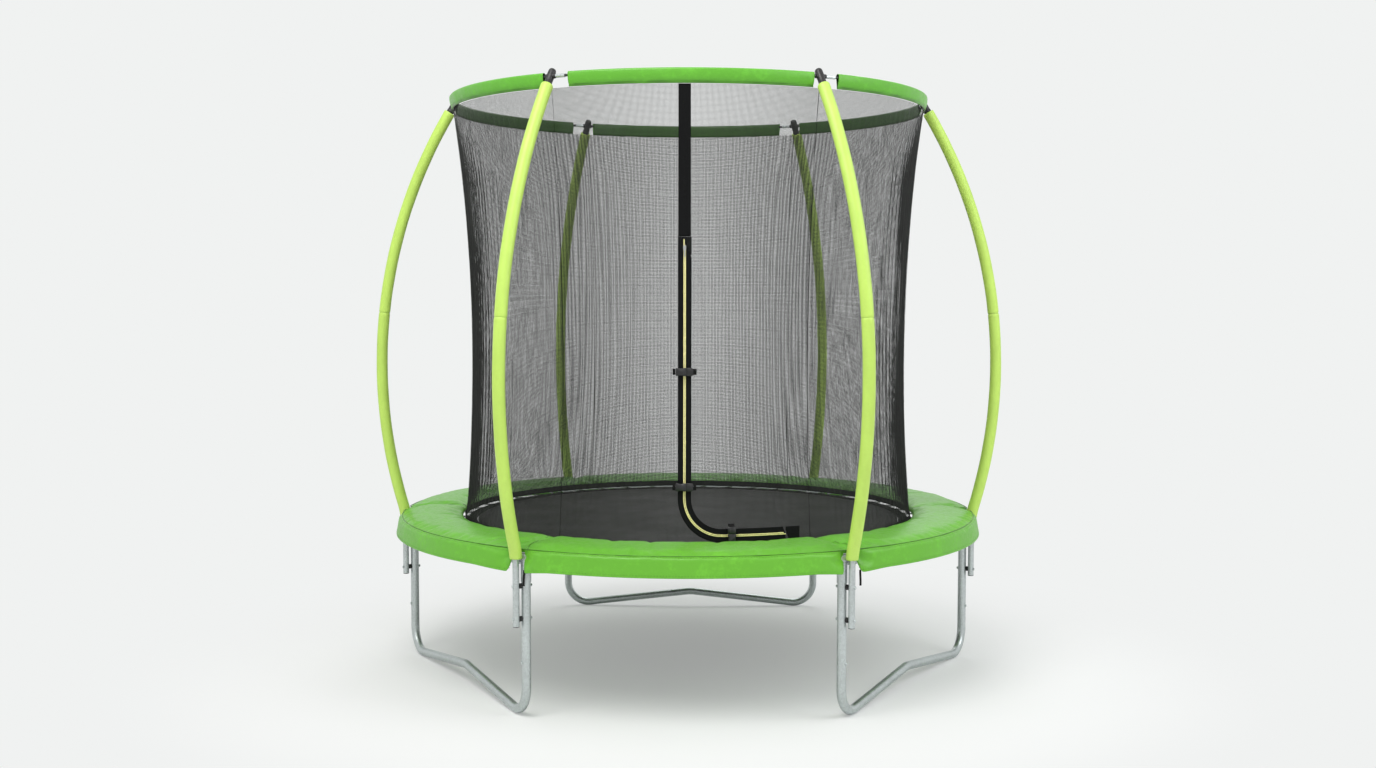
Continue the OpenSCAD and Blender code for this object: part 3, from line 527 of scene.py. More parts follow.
# ------------------------------------------------------------------ Geometry Nodes
class Recipe:
    """A Geometry Nodes tree with named inputs, run once for each piece."""

    def __init__(self, name, **inputs):
        self.tree = bpy.data.node_groups.new(name, "GeometryNodeTree")
        face = self.tree.interface
        face.new_socket("Geometry", in_out="INPUT", socket_type="NodeSocketGeometry")
        face.new_socket("Geometry", in_out="OUTPUT", socket_type="NodeSocketGeometry")
        self.keys = {}
        for label, (kind, default) in inputs.items():
            socket = face.new_socket(label, in_out="INPUT", socket_type="NodeSocket" + kind)
            if default is not None:
                socket.default_value = default
            self.keys[label] = socket.identifier
        self.given = self.tree.nodes.new("NodeGroupInput")
        self.result = self.tree.nodes.new("NodeGroupOutput")

    def asked(self, label):
        return self.given.outputs[label]

    def node(self, kind, settings=None, inputs=None, output=0):
        made = self.tree.nodes.new(kind)
        for name, setting in (settings or {}).items():
            setattr(made, name, setting)
        for name, value in (inputs or {}).items():
            for one in value if isinstance(value, list) else [value]:
                if isinstance(one, bpy.types.NodeSocket):
                    self.tree.links.new(one, made.inputs[name])
                else:
                    made.inputs[name].default_value = one
        return made.outputs[output]

    def sum(self, operation, a, b=0.0):
        return self.node("ShaderNodeMath", {"operation": operation}, {0: a, 1: b})

    def vector(self, x=0.0, y=0.0, z=0.0):
        return self.node("ShaderNodeCombineXYZ", None, {0: x, 1: y, 2: z})

    def end(self, geometry, material):
        real = self.node("GeometryNodeRealizeInstances", None, {0: geometry})
        shaded = self.node("GeometryNodeSetShadeSmooth", None, {0: real, "Shade Smooth": True})
        done = self.node("GeometryNodeSetMaterial", None, {0: shaded, "Material": material})
        self.tree.links.new(done, self.result.inputs[0])

    def grow(self, name, source=None, **values):
        """Runs the tree on a mesh and keeps its result as a plain mesh."""
        piece = link(name, source or bpy.data.meshes.new(name))
        modifier = piece.modifiers.new("Recipe", "NODES")
        modifier.node_group = self.tree
        for label, value in values.items():
            modifier[self.keys[label]] = value
        bpy.context.view_layer.update()
        seen = piece.evaluated_get(bpy.context.evaluated_depsgraph_get())
        mesh = bpy.data.meshes.new_from_object(seen)
        piece.modifiers.remove(modifier)
        piece.data = mesh
        mesh.name = name
        return piece


def follow_recipe():
    """Copies of a small rounded block along a path, turned to the path and its normal."""
    r = Recipe("along_a_path", Pitch=("Float", 0.004), Size=("Vector", (0.002, 0.002, 0.002)),
               Shift=("Float", 0.0), Material=("Material", None))
    path = r.node("GeometryNodeMeshToCurve", None, {0: r.asked("Geometry")})
    evenly = r.node("GeometryNodeResampleCurve", {"mode": "LENGTH"},
                    {"Curve": path, "Length": r.asked("Pitch")})
    normal = r.node("GeometryNodeInputNamedAttribute", {"data_type": "FLOAT_VECTOR"},
                    {"Name": "out"})
    tangent = r.node("GeometryNodeInputTangent")
    turned = r.node("FunctionNodeAlignRotationToVector", {"axis": "Y"}, {"Vector": tangent})
    turned = r.node("FunctionNodeAlignRotationToVector", {"axis": "Z", "pivot_axis": "Y"},
                    {"Rotation": turned, "Vector": normal})
    block = r.node("GeometryNodeMeshIcoSphere", None, {"Radius": 0.5, "Subdivisions": 1})
    block = r.node("GeometryNodeTransform", None,
                   {0: block, "Scale": r.asked("Size"), "Translation": r.vector(r.asked("Shift"))})
    r.end(r.node("GeometryNodeInstanceOnPoints", None,
                 {"Points": evenly, "Instance": block, "Rotation": turned}), r.asked("Material"))
    return r


def path_mesh(name, points, closed=False, **attributes):
    """A line of edges with attributes on its points, for a recipe to follow."""
    mesh = bpy.data.meshes.new(name)
    points = np.asarray(points, float)
    edges = [(i, i + 1) for i in range(len(points) - 1)]
    mesh.from_pydata([tuple(p) for p in points], edges + ([(len(points) - 1, 0)] if closed else []), [])
    for label, values in attributes.items():
        values = np.asarray(values, np.float32)
        kind = "FLOAT_VECTOR" if values.ndim == 2 else "FLOAT"
        mesh.attributes.new(label, kind, "POINT").data.foreach_set(
            "vector" if values.ndim == 2 else "value", values.ravel())
    return mesh


# ------------------------------------------------------------------ operators
class PieceOperator(bpy.types.Operator):
    """Base of the operators that make a piece."""

    bl_options = {"REGISTER", "UNDO"}

    def execute(self, context):
        self.make(context.scene)
        return {"FINISHED"}


class TRAMPOLINE_OT_studio(PieceOperator):
    """Sets up the camera, the pale floor, the lamps and the world"""

    bl_idname = "trampoline.studio"
    bl_label = "Studio"

    PALE = (0.873, 0.886, 0.880)

    def make(self, scene):
        azimuth, distance, height, pitch, roll = 0.0138, 6.640, 1.581, -0.0606, -0.0015
        lens = bpy.data.cameras.new("camera")
        lens.sensor_width, lens.lens = 36.0, 40.23
        camera = bpy.data.objects.new("camera", lens)
        camera.location = (distance * math.sin(azimuth), -distance * math.cos(azimuth), height)
        camera.rotation_euler = Euler((math.pi / 2 + pitch, roll, azimuth + 0.0001))
        scene.collection.objects.link(camera)
        scene.camera = camera
        scene.view_settings.view_transform = "Standard"

        half = 14.0
        floor = link("floor", mesh_from("floor", [(-half, -half, 0), (half, -half, 0),
                                                  (half, half, 0), (-half, half, 0)], [(0, 1, 2, 3)]))
        f = Finish("studio_floor", Roughness=0.85, Specular_IOR_Level=0.1)
        mottle = f.noise(1.4, 3.0)
        f.wear(Base_Color=f.mix(mottle, shade(self.PALE, 0.955), shade(self.PALE, 0.975)))
        away = f.node("ShaderNodeVectorMath", {"operation": "LENGTH"}, {0: f.place()}, output=1)
        seen = f.node("ShaderNodeLightPath", output="Is Camera Ray")
        backdrop = f.node("ShaderNodeEmission", None, {"Color": (*self.PALE, 1)})
        blend = f.node("ShaderNodeMixShader", None, {0: f.ramp(away, 1.1, 2.5, 0.30, 1.0) * seen})
        f.tree.links.new(f.shader.outputs[0], blend.socket.node.inputs[1])
        f.tree.links.new(backdrop.socket, blend.socket.node.inputs[2])
        f.show(blend.socket)
        floor.data.materials.append(f.material)

        for name, place, size, power, colour in (
                ("key", (-1.6, -3.4, 5.2), 3.6, 198.0, (1.0, 0.985, 0.96)),
                ("fill", (3.6, -2.2, 3.4), 3.0, 72.0, (0.97, 0.985, 1.0)),
                ("back", (0.6, 4.4, 4.6), 3.2, 60.0, (1.0, 1.0, 1.0))):
            lamp = bpy.data.lights.new(name, "AREA")
            lamp.shape, lamp.size, lamp.energy, lamp.color = "DISK", size, power, colour
            holder = bpy.data.objects.new(name, lamp)
            holder.location = place
            aim = Vector((0, 0, 1.0)) - Vector(place)
            holder.rotation_euler = aim.to_track_quat("-Z", "Y").to_euler()
            scene.collection.objects.link(holder)

        world = bpy.data.worlds.new("studio")
        world.use_nodes = True
        scene.world = world
        tree = world.node_tree
        tree.nodes.clear()
        rays = tree.nodes.new("ShaderNodeLightPath")
        ambient, shown = (tree.nodes.new("ShaderNodeBackground") for _ in range(2))
        ambient.inputs[0].default_value, ambient.inputs[1].default_value = (1, 1, 1, 1), 0.66
        shown.inputs[0].default_value = (*self.PALE, 1)
        either = tree.nodes.new("ShaderNodeMath")
        either.operation = "MAXIMUM"
        both = tree.nodes.new("ShaderNodeMath")
        both.operation = "MAXIMUM"
        tree.links.new(rays.outputs["Is Camera Ray"], either.inputs[0])
        tree.links.new(rays.outputs["Is Glossy Ray"], either.inputs[1])
        tree.links.new(either.outputs[0], both.inputs[0])
        tree.links.new(rays.outputs["Is Transmission Ray"], both.inputs[1])
        pick = tree.nodes.new("ShaderNodeMixShader")
        tree.links.new(both.outputs[0], pick.inputs[0])
        tree.links.new(ambient.outputs[0], pick.inputs[1])
        tree.links.new(shown.outputs[0], pick.inputs[2])
        sky = tree.nodes.new("ShaderNodeOutputWorld")
        tree.links.new(pick.outputs[0], sky.inputs[0])


class TRAMPOLINE_OT_steelwork(PieceOperator):
    """Finishes the rail, legs, poles, top ring and fasteners"""

    bl_idname = "trampoline.steelwork"
    bl_label = "Steelwork"

    def make(self, scene):
        colour = tuple(scene.trampoline_frame.steel_colour)
        finishes = {
            "galvanised_steel": galvanised_finish("galvanised_tube", colour),
            "zinc_fasteners": galvanised_finish("zinc_fastener", shade(colour, 1.15), 0.3),
            "black_plastic": plastic_finish("moulded_black", (0.012, 0.012, 0.013)),
            "ring_rod": plastic_finish("painted_rod", (0.020, 0.021, 0.022), 0.34),
            "zip_metal": galvanised_finish("zip_pull_metal", (0.42, 0.43, 0.44), 0.32),
        }
        for part in frame["record"]["subparts"]:
            finish = finishes.get(part["material_slot"])
            if finish:
                solid = NODES[part["node"]].data
                solid.materials.clear()
                solid.materials.append(finish)


class TRAMPOLINE_OT_foam(PieceOperator):
    """Makes the foam sleeves of the six poles, with rounded ends"""

    bl_idname = "trampoline.foam"
    bl_label = "Foam Sleeves"

    def make(self, scene):
        settings = scene.trampoline_frame
        material = foam_finish(settings)
        foot = [(POLE_R, z) for z in np.linspace(settings.foam_foot, 0.606, 3)]
        start = -POLE_LEAN + 0.014 / BOW_R
        joint, top = JOINT_A, END_A
        gap = 0.0003 / BOW_R
        copies = around_recipe()
        for name, first, last, lead, node in (
                ("foam_lower", start, joint - gap, foot, "foam_sleeves_lower"),
                ("foam_upper", joint + gap, top, [], "foam_sleeves_upper")):
            path = np.array(lead + [(BOW_X + BOW_R * math.cos(a), BOW_Z + BOW_R * math.sin(a))
                                    for a in np.linspace(first, last, 90)])
            rings = self.sleeve(path, settings.foam_diameter / 2, len(lead) > 0)
            source = tube(name, rings)
            piece = copies.grow(name, source, Count=6, Step=SECTOR, Start=0.0, Material=material)
            settle(piece, material, "frame", (node,))

    @staticmethod
    def sleeve(path, radius, kinked):
        """Rings round a path in the plane of a pole, drawn in at both ends and softly dented."""
        step = np.linalg.norm(np.diff(path, axis=0), axis=1)
        at = np.concatenate([[0], np.cumsum(step)])
        extra = np.array([0.0004, 0.0012, 0.0025, 0.005])
        marks = np.unique(np.concatenate([at, extra, at[-1] - extra]))
        path = np.stack([np.interp(marks, at, path[:, i]) for i in (0, 1)], 1)
        if kinked:
            for _ in range(3):
                path[1:-1] = 0.5 * path[1:-1] + 0.25 * (path[:-2] + path[2:])
        along = np.gradient(path, axis=0)
        along /= np.linalg.norm(along, axis=1)[:, None]
        end = np.minimum(marks, marks[-1] - marks)
        size = radius * (1 - 0.075 * (1 - ease(end, 0.0, 0.0045)))
        turn = np.linspace(0, TAU, 28, endpoint=False)
        rings = []
        for (x, z), (tx, tz), r, m in zip(path, along, size, marks):
            dent = np.array([noise.noise(Vector((math.cos(t) * 0.7, math.sin(t) * 0.7, m * 9)))
                             for t in turn]) * 0.0006
            out = (r + dent - 0.0004)[:, None]
            side, normal = np.array([0, 1, 0]), np.array([-tz, 0, tx])
            rings.append(np.array([x, 0, z]) + out * (
                np.cos(turn)[:, None] * normal + np.sin(turn)[:, None] * side))
        return rings


def around_recipe():
    """Copies of the given mesh turned about the upright axis."""
    r = Recipe("around_the_middle", Count=("Int", 6), Start=("Float", 0.0),
               Step=("Float", 1.0), Material=("Material", None))
    spots = r.node("GeometryNodePoints", None, {"Count": r.asked("Count")})
    index = r.node("GeometryNodeInputIndex")
    turn = r.sum("ADD", r.sum("MULTIPLY", index, r.asked("Step")), r.asked("Start"))
    r.end(r.node("GeometryNodeInstanceOnPoints", None, {
        "Points": spots, "Instance": r.asked("Geometry"),
        "Rotation": r.vector(0.0, 0.0, turn)}), r.asked("Material"))
    return r


def lathe(name, profile, origin=(0, 0, 0), axis=(0, 0, 1), sides=32):
    """A closed solid of revolution: profile holds (radius, height) from one end to the other."""
    axis = Vector(axis).normalized()
    turn = axis.to_track_quat("Z", "Y")
    a = np.linspace(0, TAU, sides, endpoint=False)
    rings = [[Vector(origin) + turn @ Vector((r * math.cos(t), r * math.sin(t), h)) for t in a]
             for r, h in profile]
    return tube(name, np.array(rings))


def join(name, meshes):
    """One mesh of several."""
    shell = bmesh.new()
    for mesh in meshes:
        shell.from_mesh(mesh)
        bpy.data.meshes.remove(mesh)
    joined = bpy.data.meshes.new(name)
    shell.to_mesh(joined)
    shell.free()
    joined.polygons.foreach_set("use_smooth", [True] * len(joined.polygons))
    return joined


class TRAMPOLINE_OT_caps(PieceOperator):
    """Makes the moulded caps that hold the top ring, and the plugs below the poles"""

    bl_idname = "trampoline.caps"
    bl_label = "Pole Caps"

    def make(self, scene):
        end = Vector((BOW_X + BOW_R * math.cos(END_A), 0, BOW_Z + BOW_R * math.sin(END_A)))
        up = Vector((-math.sin(END_A), 0, math.cos(END_A)))
        body = [(0.0135, 0.0006), (0.0152, 0.0010), (0.0156, 0.003), (0.0156, 0.009),
                (0.0150, 0.0100), (0.0148, 0.020), (0.0149, 0.030), (0.0153, 0.034),
                (0.0155, 0.040), (0.0153, 0.047), (0.0150, 0.052), (0.0149, 0.060),
                (0.0138, 0.066), (0.0115, 0.0698), (0.0075, 0.0716), (0.002, 0.0719)]
        middle = end + up * 0.040
        ear = [(0.0075, -0.0212), (0.0088, -0.0208), (0.0092, -0.0195), (0.0092, -0.012),
               (0.0104, -0.009), (0.0104, 0.009), (0.0092, 0.012), (0.0092, 0.0195),
               (0.0088, 0.0208), (0.0075, 0.0212)]
        plug = [(0.010, 0.349 - 0.0029), (0.0122, 0.349 - 0.0024), (0.0125, 0.349 - 0.0012),
                (0.0124, 0.349), (0.0105, 0.3492), (0.0104, 0.362), (0.0095, 0.363)]
        collar = self.collar()
        source = join("cap", [lathe("body", body, end, up), lathe("ear", ear, middle, (0, 1, 0), 24),
                              lathe("plug", plug, (POLE_R, 0, 0), (0, 0, 1), 28), collar])
        material = plastic_finish("cap_plastic", (0.014, 0.014, 0.015), 0.40)
        piece = around_recipe().grow("pole_caps_moulded", source, Count=6, Step=SECTOR,
                                     Material=material)
        settle(piece, material, "frame", ("pole_caps",))

    @staticmethod
    def collar():
        """The ring that holds a ferrule off its cap, rounded at its edges."""
        turn = np.linspace(0, TAU, 24, endpoint=False)
        rings = []
        for arc, r in ((0.0181, 0.0070), (0.0184, 0.0082), (0.0195, 0.0085), (0.0228, 0.0085),
                       (0.0238, 0.0082), (0.0240, 0.0070)):
            a = arc / RING_R
            rings.append(np.stack([(RING_R + r * np.cos(turn)) * math.cos(a),
                                   (RING_R + r * np.cos(turn)) * math.sin(a),
                                   RING_Z + r * np.sin(turn)], -1))
        return tube("collar", rings)


class TRAMPOLINE_OT_ring_sleeves(PieceOperator):
    """Makes the six cloth sleeves that hang the net from the top ring"""

    bl_idname = "trampoline.ring_sleeves"
    bl_label = "Ring Sleeves"

    def make(self, scene):
        colour = tuple(scene.trampoline_pad.sleeve_colour)
        # RING_R: the sleeves' cloth nearer the middle than the ring gets painted shade
        material = coated_cloth_finish("sleeve_cloth", colour, 0.0009, RING_R)
        thread = coated_cloth_finish("sleeve_thread", shade(colour, 0.45))
        stitches = follow_recipe()
        seams = []
        for k in range(6):
            a0 = k * SECTOR + TUNNEL_FROM / RING_R
            a1 = (k + 1) * SECTOR - TUNNEL_TO / RING_R
            length = (a1 - a0) * RING_R
            angles = np.linspace(a0, a1, 170)
            outer, width = self.section(angles, (angles - a0) * RING_R, length, 0.0)
            inner, _ = self.section(angles, (angles - a0) * RING_R, length, 0.0009)
            piece = link(f"ring_sleeve_{k + 1}", cloth_wall(f"ring_sleeve_{k + 1}", outer, inner))
            settle(piece, material, "frame", ("ring_sleeves",) if k == 0 else ())
            row = outer[2:-2, -4]
            out = np.stack([np.cos(angles[2:-2]), np.sin(angles[2:-2]), 0 * angles[2:-2]], 1)
            seams.append((row + out * 0.0004, out))
        meshes = []
        for number, (row, out) in enumerate(seams):
            line = stitches.grow(f"hem_stitch_{number}", path_mesh("hem", row, out=out), Pitch=0.006,
                                 Size=(0.0007, 0.0042, 0.0007), Material=thread)
            meshes.append(line.data)
            bpy.data.objects.remove(line)
        piece = link("ring_sleeve_stitches", join("ring_sleeve_stitches", meshes))
        settle(piece, thread, "frame")

    @staticmethod
    def section(angles, along, length, inset):
        """The folded cloth round the rod at each angle: inner hem, over the rod, outer hem."""
        r_top, z_top = 0.0083 - inset, TUNNEL_TOP - 0.0085
        inner = [(-0.0042, 0.0004), (-0.0047, 0.012), (-0.0060, 0.024), (-0.0074, 0.036)]
        outer = [(0.0076, 0.036), (0.0052, 0.024), (0.0014, 0.012), (-0.0014, 0.008),
                 (-0.0010, 0.0035), (-0.0016, 0.0004)]
        line = [(x - (0 if x < -0.003 else inset) + (inset if x < -0.003 else 0),
                 TUNNEL_BOTTOM + z) for x, z in inner]
        line += [(r_top * math.cos(t), z_top + r_top * math.sin(t))
                 for t in np.linspace(math.pi, 0, 11)]
        line += [(x - inset, TUNNEL_BOTTOM + z) for x, z in outer]
        line = np.array(line)
        width = np.linalg.norm(np.diff(line, axis=0), axis=1).sum()
        end = np.minimum(along, length - along)
        crease = 1 - 0.6 * ease(end, 0.0, 0.06)
        hang = np.linspace(0, 1, len(line))
        rows = []
        for a, s, c in zip(angles, along, crease):
            wave = np.array([noise.noise(Vector((s * 46, t * 2.2, 3.0))) * 0.0013 * c
                             + noise.noise(Vector((s * 13, t * 1.3, 9.0))) * 0.0016
                             for t in hang])
            free = np.sin(np.pi * np.clip(hang, 0, 1)) ** 0.5 * (np.abs(hang - 0.42) > 0.16)
            r = RING_R + line[:, 0] + wave * free * np.sign(hang - 0.42)
            z = line[:, 1] + 0.0009 * noise.noise(Vector((s * 18, 5.0, 1.0))) * (hang > 0.8)
            rows.append(np.stack([r * math.cos(a), r * math.sin(a), z], -1))
        return np.array(rows), width


class TRAMPOLINE_OT_net(PieceOperator):
    """Makes the pleated net walls, the front with its door, and their bindings"""

    bl_idname = "trampoline.net"
    bl_label = "Net"

    WALLS = (0, 1, 2, 3, 5)
    CELL_X, CELL_Z = 0.0044, 0.0115

    def make(self, scene):
        settings = scene.trampoline_net
        material = net_finish(settings)
        self.waves = round(TAU * NET_WAIST_R / settings.pleat_width)
        self.depth = settings.pleat
        for number, k in enumerate(self.WALLS, 1):
            angles = np.linspace(k * SECTOR, (k + 1) * SECTOR, 300)
            heights = np.linspace(NET_BOTTOM, NET_TOP, 46)
            a, z = np.meshgrid(angles, heights, indexing="ij")
            points = around(net_r(z) + self.pleats(a, z), a, z)
            piece = self.double(f"net_{number}", points, a, z, quads(*a.shape))
            settle(piece, material, "frame", (f"net_wall_{number}",))
            area = sum(p.area for p in piece.data.polygons) / 2
            height = NET_TOP - NET_BOTTOM
            round(area / height, 3)
        self.front(material)
        self.bindings()

    @staticmethod
    def double(name, points, a, z, faces):
        """The net with its threads' thickness: two layers and a rim along the given faces."""
        used, corner = np.unique(faces, return_inverse=True)
        faces, n = corner.reshape(-1, 4), len(used)
        points = points.reshape(-1, 3)[used]
        out = out_of_net(points) * 0.0007
        edges = np.concatenate([faces[:, [i, (i + 1) % 4]] for i in range(4)])
        rim = edges[~np.isin(edges[:, 0] * n + edges[:, 1], edges[:, 1] * n + edges[:, 0])]
        sides = np.stack([rim[:, 1], rim[:, 0], rim[:, 0] + n, rim[:, 1] + n], 1)
        mesh = mesh_from(name, np.concatenate([points + out, points - out]),
                         np.concatenate([faces, faces[:, ::-1] + n, sides]))
        flat = np.stack([a.ravel()[used] * 0.95, z.ravel()[used]], 1)
        add_uv(mesh, np.concatenate([flat, flat]))
        return link(name, point_out(mesh))

    def pleats(self, a, z, calm=1.0):
        """How far the net lies inside its outline: upright folds that wander and come and go."""
        x, y = np.cos(a) * NET_WAIST_R, np.sin(a) * NET_WAIST_R
        flat = [v.ravel() for v in np.broadcast_arrays(x, y, z)]
        wander = np.array([noise.noise(Vector((p * 5, q * 5, s * 1.1))) for p, q, s in zip(*flat)])
        amount = np.array([noise.noise(Vector((p * 7, q * 7, s * 1.6 + 20))) for p, q, s in zip(*flat)])
        wide = np.array([noise.noise(Vector((p * 15, q * 15, s * 0.9 + 40))) for p, q, s in zip(*flat)])
        wander, amount, wide = (v.reshape(a.shape) for v in (wander, amount, wide))
        hold = ease(z, NET_BOTTOM, NET_BOTTOM + 0.10) * (1 - 0.85 * ease(z, 2.05, NET_TOP))
        flank = np.cos(a) ** 4                               # the side walls have deeper pleats
        size = self.depth * (0.15 + 0.85 * ease(amount + 0.6 * flank, -0.1, 0.4))
        size = size * (0.12 + 0.88 * hold) * (0.5 + 1.5 * flank) * calm
        fold = 0.5 - 0.5 * np.cos(self.waves * a + 4.0 * wander)
        return -2 * size * fold - 0.005 * (0.5 + wide) * hold * calm

    def front(self, material):
        """The front panel and the door flap, cut from one grid along the zip and the fold."""
        angles = np.linspace(4 * SECTOR, 5 * SECTOR, 220)
        heights = np.linspace(NET_BOTTOM, NET_TOP, 150)
        a, z = np.meshgrid(angles, heights, indexing="ij")
        x = net_r(z) * np.cos(a)
        edge = self.door_edge(x, z)
        step = 1e-4
        gx = (self.door_edge(x + step, z) - edge) / step
        gz = (self.door_edge(x, z + step) - edge) / step
        near = np.abs(edge) < 0.45 * np.hypot(self.CELL_X * gx, self.CELL_Z * gz)
        x = np.where(near, x - edge * gx, x)
        z = np.where(near, z - edge * gz, z)
        a = np.arctan2(-np.sqrt(net_r(z) ** 2 - x ** 2), x) % TAU
        calm = (ease(self.zip_distance(x, z), 0.03, 0.10)
                * np.where(z > ZIP_TOP, ease(np.abs(x), 0.03, 0.10), 1.0))
        points = around(net_r(z) + self.pleats(a, z, calm), a, z)
        faces = quads(*a.shape)
        middle_x, middle_z = (v.ravel()[faces].mean(1) for v in (x, z))
        inside = self.door_edge(middle_x, middle_z) < 0
        for name, keep, node in (("net_front_panel", ~inside, "net_front"),
                                 ("door_flap_cloth", inside, "door_flap")):
            piece = self.double(name, points, a, z, faces[keep])
            area = round(sum(p.area for p in piece.data.polygons) / 2, 4)
            if node == "net_front":
                settle(piece, material, "frame", (node,))
            else:
                settle(piece, material, None, (node,))
                start, end = self.across_fold(0.000), self.across_fold(0.045)
                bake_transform(piece)
                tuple(start)
                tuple(end)

    @staticmethod
    def across_fold(distance):
        """A point that far on the door's side of the middle of the fold."""
        (x0, z0), (x1, z1) = FOLD
        length = math.hypot(x1 - x0, z1 - z0)
        x, z = (x0 + x1) / 2, (z0 + z1) / 2
        x, z = x + distance * (z1 - z0) / length, z - distance * (x1 - x0) / length
        return tuple(float(v) for v in on_front(x, z))

    @staticmethod
    def zip_distance(x, z):
        """Distance from the zip's line, on either side."""
        px, pz = ZIP_CORNER - x, ZIP_LOW + ZIP_CORNER - z
        corner = np.hypot(px, pz) - ZIP_CORNER
        straight = np.maximum(-x, ZIP_LOW - z)
        edge = np.where((px > 0) & (pz > 0), corner, straight)
        beyond = np.maximum(np.maximum(z - ZIP_TOP, x - ZIP_END), 0)
        return np.hypot(edge, beyond)

    @staticmethod
    def door_edge(x, z):
        """Distance outside the door's outline: negative on the door."""
        px, pz = ZIP_CORNER - x, ZIP_LOW + ZIP_CORNER - z
        corner = np.hypot(px, pz) - ZIP_CORNER
        straight = np.maximum(-x, ZIP_LOW - z)
        edge = np.where((px > 0) & (pz > 0), corner, straight)
        return np.maximum(edge, -fold_distance(x, z))

    def bindings(self):
        """The hem tape round the net's foot, and the folded seams between its panels."""
        material = webbing_finish("binding_tape", (0.012, 0.012, 0.012))
        a = np.linspace(0, TAU, 240, endpoint=False)
        low, high = NET_BOTTOM - 0.0075, NET_BOTTOM + 0.018      # it nearly reaches the mat
        section = [(0.0011, low + 0.001), (0.0019, low + 0.0002), (0.0024, low + 0.0012),
                   (0.0024, high - 0.0012), (0.0019, high - 0.0002), (0.0011, high - 0.001)]
        rings = [[(float(net_r(z) + r) * math.cos(t), float(net_r(z) + r) * math.sin(t), z)
                  for r, z in section] for t in a]
        hem = link("net_hem", tube("net_hem", np.array(rings), closed=True))
        settle(hem, material, "frame")
        round(TAU * float(net_r(low)), 3)
        z = np.linspace(NET_BOTTOM + 0.02, NET_TOP - 0.001, 40)
        path = np.stack([net_r(z) + 0.0014, 0 * z, z], 1)
        across = np.tile([0.0, 1.0, 0.0], (len(z), 1))
        seams = around_recipe().grow("net_seams", strap_mesh("seam", path, across, 0.0025, 0.0010),
                                     Count=6, Step=SECTOR, Material=material)
        settle(seams, material, "frame")


class TRAMPOLINE_OT_door(PieceOperator):
    """Makes the zip's tapes and teeth, the band above it and the patch at its end"""

    bl_idname = "trampoline.door"
    bl_label = "Door Zip"

    def make(self, scene):
        tape = webbing_finish("zip_tape_weave", (0.005, 0.0052, 0.0055), 0.0011, 0.7)
        teeth = plastic_finish("zip_teeth", tuple(scene.trampoline_net.zip_colour), 0.35)
        width = np.linspace(0, 1, 7)
        z = np.linspace(ZIP_TOP + 0.0006, NET_TOP - 0.0005, 60)
        x = np.linspace(-BAND_W / 2, BAND_W / 2, 9)
        self.skin("door_band_tape", *np.meshgrid(x, z, indexing="xy"), tape, "door_band", "frame",
                  (BAND_W, 0.552), "net_front_panel")
        (x0, z0), (x1, z1) = FOLD
        z = np.linspace(ZIP_TOP, ZIP_TOP - 0.066, 12)[:, None]
        slant = (z0 - z) * (x1 - x0) / (z0 - z1) - 0.003
        x = slant + (TAPE_W - slant) * np.linspace(0, 1, 5)
        self.skin("zip_top_gusset", x, z + 0 * x, tape, None, "frame", (TAPE_W, 0.066),
                  "net_front_panel", 0.0011, behind=True)
        for name, node, body, side in (("zip_tape_left", "zip_tape", "frame", -1),
                                       ("zip_tape_right", "zip_tape_door", "door", 1)):
            lines = [zip_line(side * (ZIP_HALF_GAP + (TAPE_W - ZIP_HALF_GAP) * w)) for w in width]
            lines = np.array(lines).transpose(1, 0, 2)
            if side > 0:
                lines = self.short_of_fold(lines)
            length = np.linalg.norm(np.diff(lines[:, 3], axis=0), axis=1).sum()
            self.skin(name, lines[:, :, 0], lines[:, :, 1], tape, node, body,
                      (TAPE_W, round(length, 3)), "net_front_panel")
        z = np.linspace(ZIP_LOW - 0.0245, ZIP_LOW + 0.0245, 10)[:, None]
        slant = np.maximum(ZIP_END + 0.0006, ZIP_END - (z - ZIP_LOW) * (x1 - x0) / (z0 - z1) + 0.0046)
        x = slant + (0.435 - slant) * np.linspace(0, 1, 8)
        self.skin("zip_end_patch", x, z + 0 * x, tape, None, "frame", (0.054, 0.049),
                  "net_front_panel")
        copies = follow_recipe()
        for name, body, side in (("zip_teeth_left", "frame", -1), ("zip_teeth_right", "door", 1)):
            line = zip_line(side * 0.0025, 90, 30, 30)
            line = line[(line[:, 1] < ZIP_TOP - 0.006)]
            if side > 0:
                line = line[fold_distance(line[:, 0], line[:, 1]) > 0.007]
            points = on_front(line[:, 0], line[:, 1], TAPE_OUT + 0.0001)
            piece = copies.grow(name, path_mesh(name, points, out=out_of_net(points)), Pitch=0.0026,
                                Size=(0.0049, 0.0030, 0.0015), Material=teeth)
            settle(piece, teeth, body)

    @staticmethod
    def short_of_fold(lines):
        """Draws the level end of the door's tape back to a slanted edge beside the fold."""
        keep = 0.0015
        for row in lines:
            lack = keep - fold_distance(row[:, 0], row[:, 1])
            level = (row[:, 0] > ZIP_CORNER) & (lack > 0)
            row[level, 0] -= lack[level] * 1.06
            upright = (row[:, 1] > ZIP_LOW + ZIP_CORNER) & (lack > 0)
            row[upright, 1] -= lack[upright] * 3.1
        return lines

    @staticmethod
    def skin(name, x, z, material, node, body, flat, on, area=None, behind=False):
        """A thin cloth piece on the outside or the back of the front, closed all round."""
        rib = 0.0002 * np.cos(np.linspace(0, TAU, x.shape[1]))
        side = -1 if behind else 1
        outer = on_front(x, z, side * (TAPE_OUT - 0.0002 + rib))
        inner = on_front(x, z, side * TAPE_IN)
        piece = link(name, cloth_wall(name, outer, inner))
        settle(piece, material, body, (node,) if node else ())


